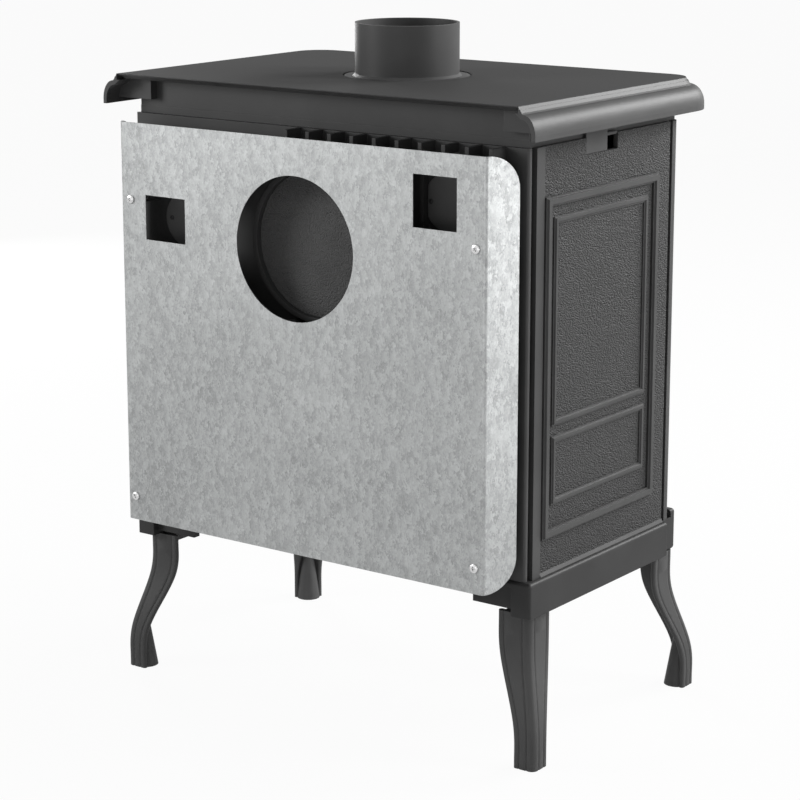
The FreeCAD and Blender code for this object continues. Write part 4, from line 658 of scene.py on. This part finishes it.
# Fasteners: thread pitches in metres, and shares of a shank's radius or of a head's radius and height
SCREW_PITCH = 0.0009
BOLT_PITCH = 0.0013
THREAD_CORE = 0.86
SHANK_TIP = 0.7
RECESS_REACH = 0.58
RECESS_HALF_WIDTH = 0.13
RECESS_TOP = 1.2
RECESS_FLOOR = 0.25
RECESS_TAPER = (0.45, 0.7)
PAN_HEAD = ((0.96, 0), (1, 0.12), (1, 0.4), (0.95, 0.66), (0.8, 0.87), (0.5, 0.97), (0, 1))
HEXAGON_SIDES = 24
WASHER_FACE = 0.94
WASHER_HEIGHT = 0.1
CHAMFER_START = 0.82
CHAMFER_SLOPE = 0.55


def threaded_shank(radius, length, pitch):
    """Profile of a shank from its tip up to the seat of the head, with thread ridges."""
    core = THREAD_CORE * radius
    profile = [(0, -length), (SHANK_TIP * radius, -length), (core, -length + pitch)]
    ridges = int((length - 2 * pitch) / pitch)
    for k in range(1, ridges):
        foot = -length + pitch * (1 + k)
        profile += [(core, foot - 0.5 * pitch), (radius, foot - 0.25 * pitch), (core, foot)]
    return profile + [(radius, -0.5 * pitch), (radius, 0)]


def cross_recess(reach, half_width, top, bottom):
    """A tapered cross that is cut into a screw's head."""
    rings = []
    low_reach, low_half = RECESS_TAPER[0] * reach, RECESS_TAPER[1] * half_width
    for height, a, b in ((bottom, low_reach, low_half), (top, reach, half_width)):
        outline = [(a, b), (b, b), (b, a), (-b, a), (-b, b), (-a, b)]
        outline += [(-x, -y) for x, y in outline]
        rings.append([(x, y, height) for x, y in outline])
    mesh = bmesh.new()
    skin(mesh, rings)
    corners = list(mesh.verts)
    mesh.faces.new(corners[:12])
    mesh.faces.new(corners[12:])
    return mesh


def carve(solid, cutter):
    """What is left of a solid when a cutter is taken out of it."""
    made = []
    for name, mesh in (("solid", solid), ("cutter", cutter)):
        bmesh.ops.recalc_face_normals(mesh, faces=mesh.faces)
        data = bpy.data.meshes.new(name)
        mesh.to_mesh(data)
        mesh.free()
        made.append(bpy.data.objects.new(name, data))
        bpy.context.scene.collection.objects.link(made[-1])
    cut = made[0].modifiers.new("recess", "BOOLEAN")
    cut.object = made[1]
    cut.solver = "EXACT"
    result = bpy.data.meshes.new_from_object(made[0].evaluated_get(bpy.context.evaluated_depsgraph_get()))
    for item in made:
        bpy.data.objects.remove(item)
    return result


def pan_head_screw(head, height, radius, length):
    """A cross-head screw with a low domed head; the seat of the head is at nought, and the head is up."""
    profile = threaded_shank(radius, length, SCREW_PITCH)
    profile += [(out * head, up * height) for out, up in PAN_HEAD]
    solid = bmesh.new()
    skin(solid, [circle(r, z) for r, z in profile])
    reach, half_width = RECESS_REACH * head, RECESS_HALF_WIDTH * head
    return carve(solid, cross_recess(reach, half_width, RECESS_TOP * height, RECESS_FLOOR * height))


def hexagon_bolt(head, height, radius, length):
    """A bolt with a chamfered hexagon head on a washer face; the seat of the head is at nought."""
    flat = head * math.cos(math.pi / 6)
    top = CHAMFER_START * head
    washer, foot = WASHER_FACE * flat, WASHER_HEIGHT * height
    sides = HEXAGON_SIDES
    lower, upper = [], []
    for k in range(sides):
        a = 2 * math.pi * k / sides
        reach = flat / math.cos((a % (math.pi / 3)) - math.pi / 6)
        lower.append((reach * math.cos(a), reach * math.sin(a), foot))
        upper.append((reach * math.cos(a), reach * math.sin(a), height - CHAMFER_SLOPE * (reach - top)))
    rings = [circle(r, z, sides) for r, z in threaded_shank(radius, length, BOLT_PITCH)]
    rings += [circle(washer, 0, sides), circle(washer, foot, sides), lower, upper]
    rings += [circle(top, height, sides), circle(0, height)]
    solid = bmesh.new()
    skin(solid, rings)
    data = bpy.data.meshes.new("bolt")
    bmesh.ops.recalc_face_normals(solid, faces=solid.faces)
    solid.to_mesh(data)
    solid.free()
    return data


def add_piece(name, mesh, node, body, slot):
    """A new piece that stands for a CAD node, with creases kept sharp and the rest smooth."""
    for face in mesh.faces:
        face.smooth = True
    for edge in mesh.edges:
        edge.smooth = len(edge.link_faces) == 2 and edge.calc_face_angle(0) < CREASE
    data = bpy.data.meshes.new(name)
    mesh.to_mesh(data)
    mesh.free()
    data.materials.append(finishes[slot])
    piece = bpy.data.objects.new(name, data)
    bpy.context.scene.collection.objects.link(piece)
    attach(piece, body)
    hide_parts(node)


# Angle in radians from one fastener of a group to the next
TURN_STEP = 0.7


def add_fasteners(node, body, shape, outward, head_height, radius, slot="zinc_steel"):
    """Screws or bolts in the places of a node's plain headed pins, each turned further than the last.
    Outward is the direction from the shank to the head."""
    outward = Vector(outward)
    across = Vector((0, 0, 1)) if abs(outward.z) < 0.5 else Vector((1, 0, 0))
    whole = bmesh.new()
    for number, (low, high) in enumerate(solids_of(node)):
        size = high - low
        length = abs(size.dot(outward))
        single = shape(abs(size.dot(across)) / 2, head_height, radius, length - head_height)
        seat = (low + high) / 2 + outward * (length / 2 - head_height)
        place = Matrix.Translation(seat) @ outward.to_track_quat("Z", "Y").to_matrix().to_4x4()
        single.transform(place @ Matrix.Rotation(TURN_STEP * number, 4, "Z"))
        whole.from_mesh(single)
        bpy.data.meshes.remove(single)
    add_piece(node + "_threaded", whole, node, body, slot)


# Sizes of the rope seal, and the strands' swing as a share of its width and depth
ROPE_WIDTH = 0.009
ROPE_PITCH = 0.016
ROPE_CORNER = 0.005
ROPE_STEP = 0.0016
CORNER_STEPS = 5
STRAND_SIDES = 8
SWING_WIDE = 0.24
SWING_DEEP = 0.13


def seal_line(node):
    """Middle line of the door's rope seal: points, and at each the direction across the rope."""
    low, high = (Vector(corner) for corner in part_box(node))
    inset = ROPE_WIDTH / 2
    half_x = (high.x - low.x) / 2 - inset - ROPE_CORNER
    half_z = (high.z - low.z) / 2 - inset - ROPE_CORNER
    centre = (low + high) / 2
    line = []
    for quarter in range(4):
        start = quarter * math.pi / 2
        corner = centre + Vector((half_x * (1, -1, -1, 1)[quarter], 0, half_z * (1, 1, -1, -1)[quarter]))
        for k in range(CORNER_STEPS + 1):
            a = start + math.pi / 2 * k / CORNER_STEPS
            line.append((corner + Vector((math.cos(a), 0, math.sin(a))) * ROPE_CORNER, a))
        run = 2 * (half_x, half_z)[quarter % 2]
        steps = int(run / ROPE_STEP)
        along = Vector((-math.sin(a), 0, math.cos(a)))
        end = line[-1][0]
        line += [(end + along * (run * k / steps), a) for k in range(1, steps)]
    return line


def add_rope_seal(node, body, strands=2):
    """Twisted rope along the groove of the door."""
    low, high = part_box(node)
    depth = high[1] - low[1]
    line = seal_line(node)
    lengths = [0.0]
    for (first, _), (second, _) in zip(line, line[1:]):
        lengths.append(lengths[-1] + (second - first).length)
    total = lengths[-1] + (line[0][0] - line[-1][0]).length
    twist = 2 * math.pi * round(total / ROPE_PITCH) / total
    wide, thick = SWING_WIDE * ROPE_WIDTH, SWING_DEEP * depth
    round_wide, round_thick = ROPE_WIDTH / 2 - wide, depth / 2 - thick
    section = [2 * math.pi * k / STRAND_SIDES for k in range(STRAND_SIDES)]
    inward = Vector((0, 1, 0))
    mesh = bmesh.new()
    for strand in range(strands):
        rings = []
        for (point, a), length in zip(line, lengths):
            across = Vector((math.cos(a), 0, math.sin(a)))
            turn = twist * length + 2 * math.pi * strand / strands
            middle = point + across * (wide * math.cos(turn)) + inward * (thick * math.sin(turn))
            rings.append([middle + across * (round_wide * math.cos(b)) + inward * (round_thick * math.sin(b))
                          for b in section])
        skin(mesh, rings, closed=True)
    bmesh.ops.recalc_face_normals(mesh, faces=mesh.faces)
    add_piece("door_rope", mesh, node, body, "rope")


# Head heights and shank radii of the screws and bolts, in metres
add_fasteners("shield_screws", "stove_body", pan_head_screw, (0, 1, 0), 0.0030, 0.0029)
add_fasteners("air_cover_screws", "stove_body", pan_head_screw, (0, 1, 0), 0.0022, 0.0025, "cast_iron")
add_fasteners("clip_screws", "door", pan_head_screw, (0, 1, 0), 0.0024, 0.0020)
add_fasteners("drawer_screws", "ash_drawer", pan_head_screw, (0, 1, 0), 0.0025, 0.0025)
add_fasteners("leg_bolts", "stove_body", hexagon_bolt, (0, 0, -1), 0.0060, 0.0050)
add_fasteners("front_rail_bolts", "stove_body", hexagon_bolt, (0, 1, 0), 0.0050, 0.0040)
add_fasteners("spigot_bolts", "stove_body", hexagon_bolt, (0, 0, -1), 0.0040, 0.0025)
add_fasteners("flue_cover_bolt", "stove_body", hexagon_bolt, (0, -1, 0), 0.0050, 0.0040)
add_rope_seal("door_gasket", "door")

place_camera()
light_studio()
make_world()
make_floor()
bpy.context.scene.view_settings.view_transform = "Standard"
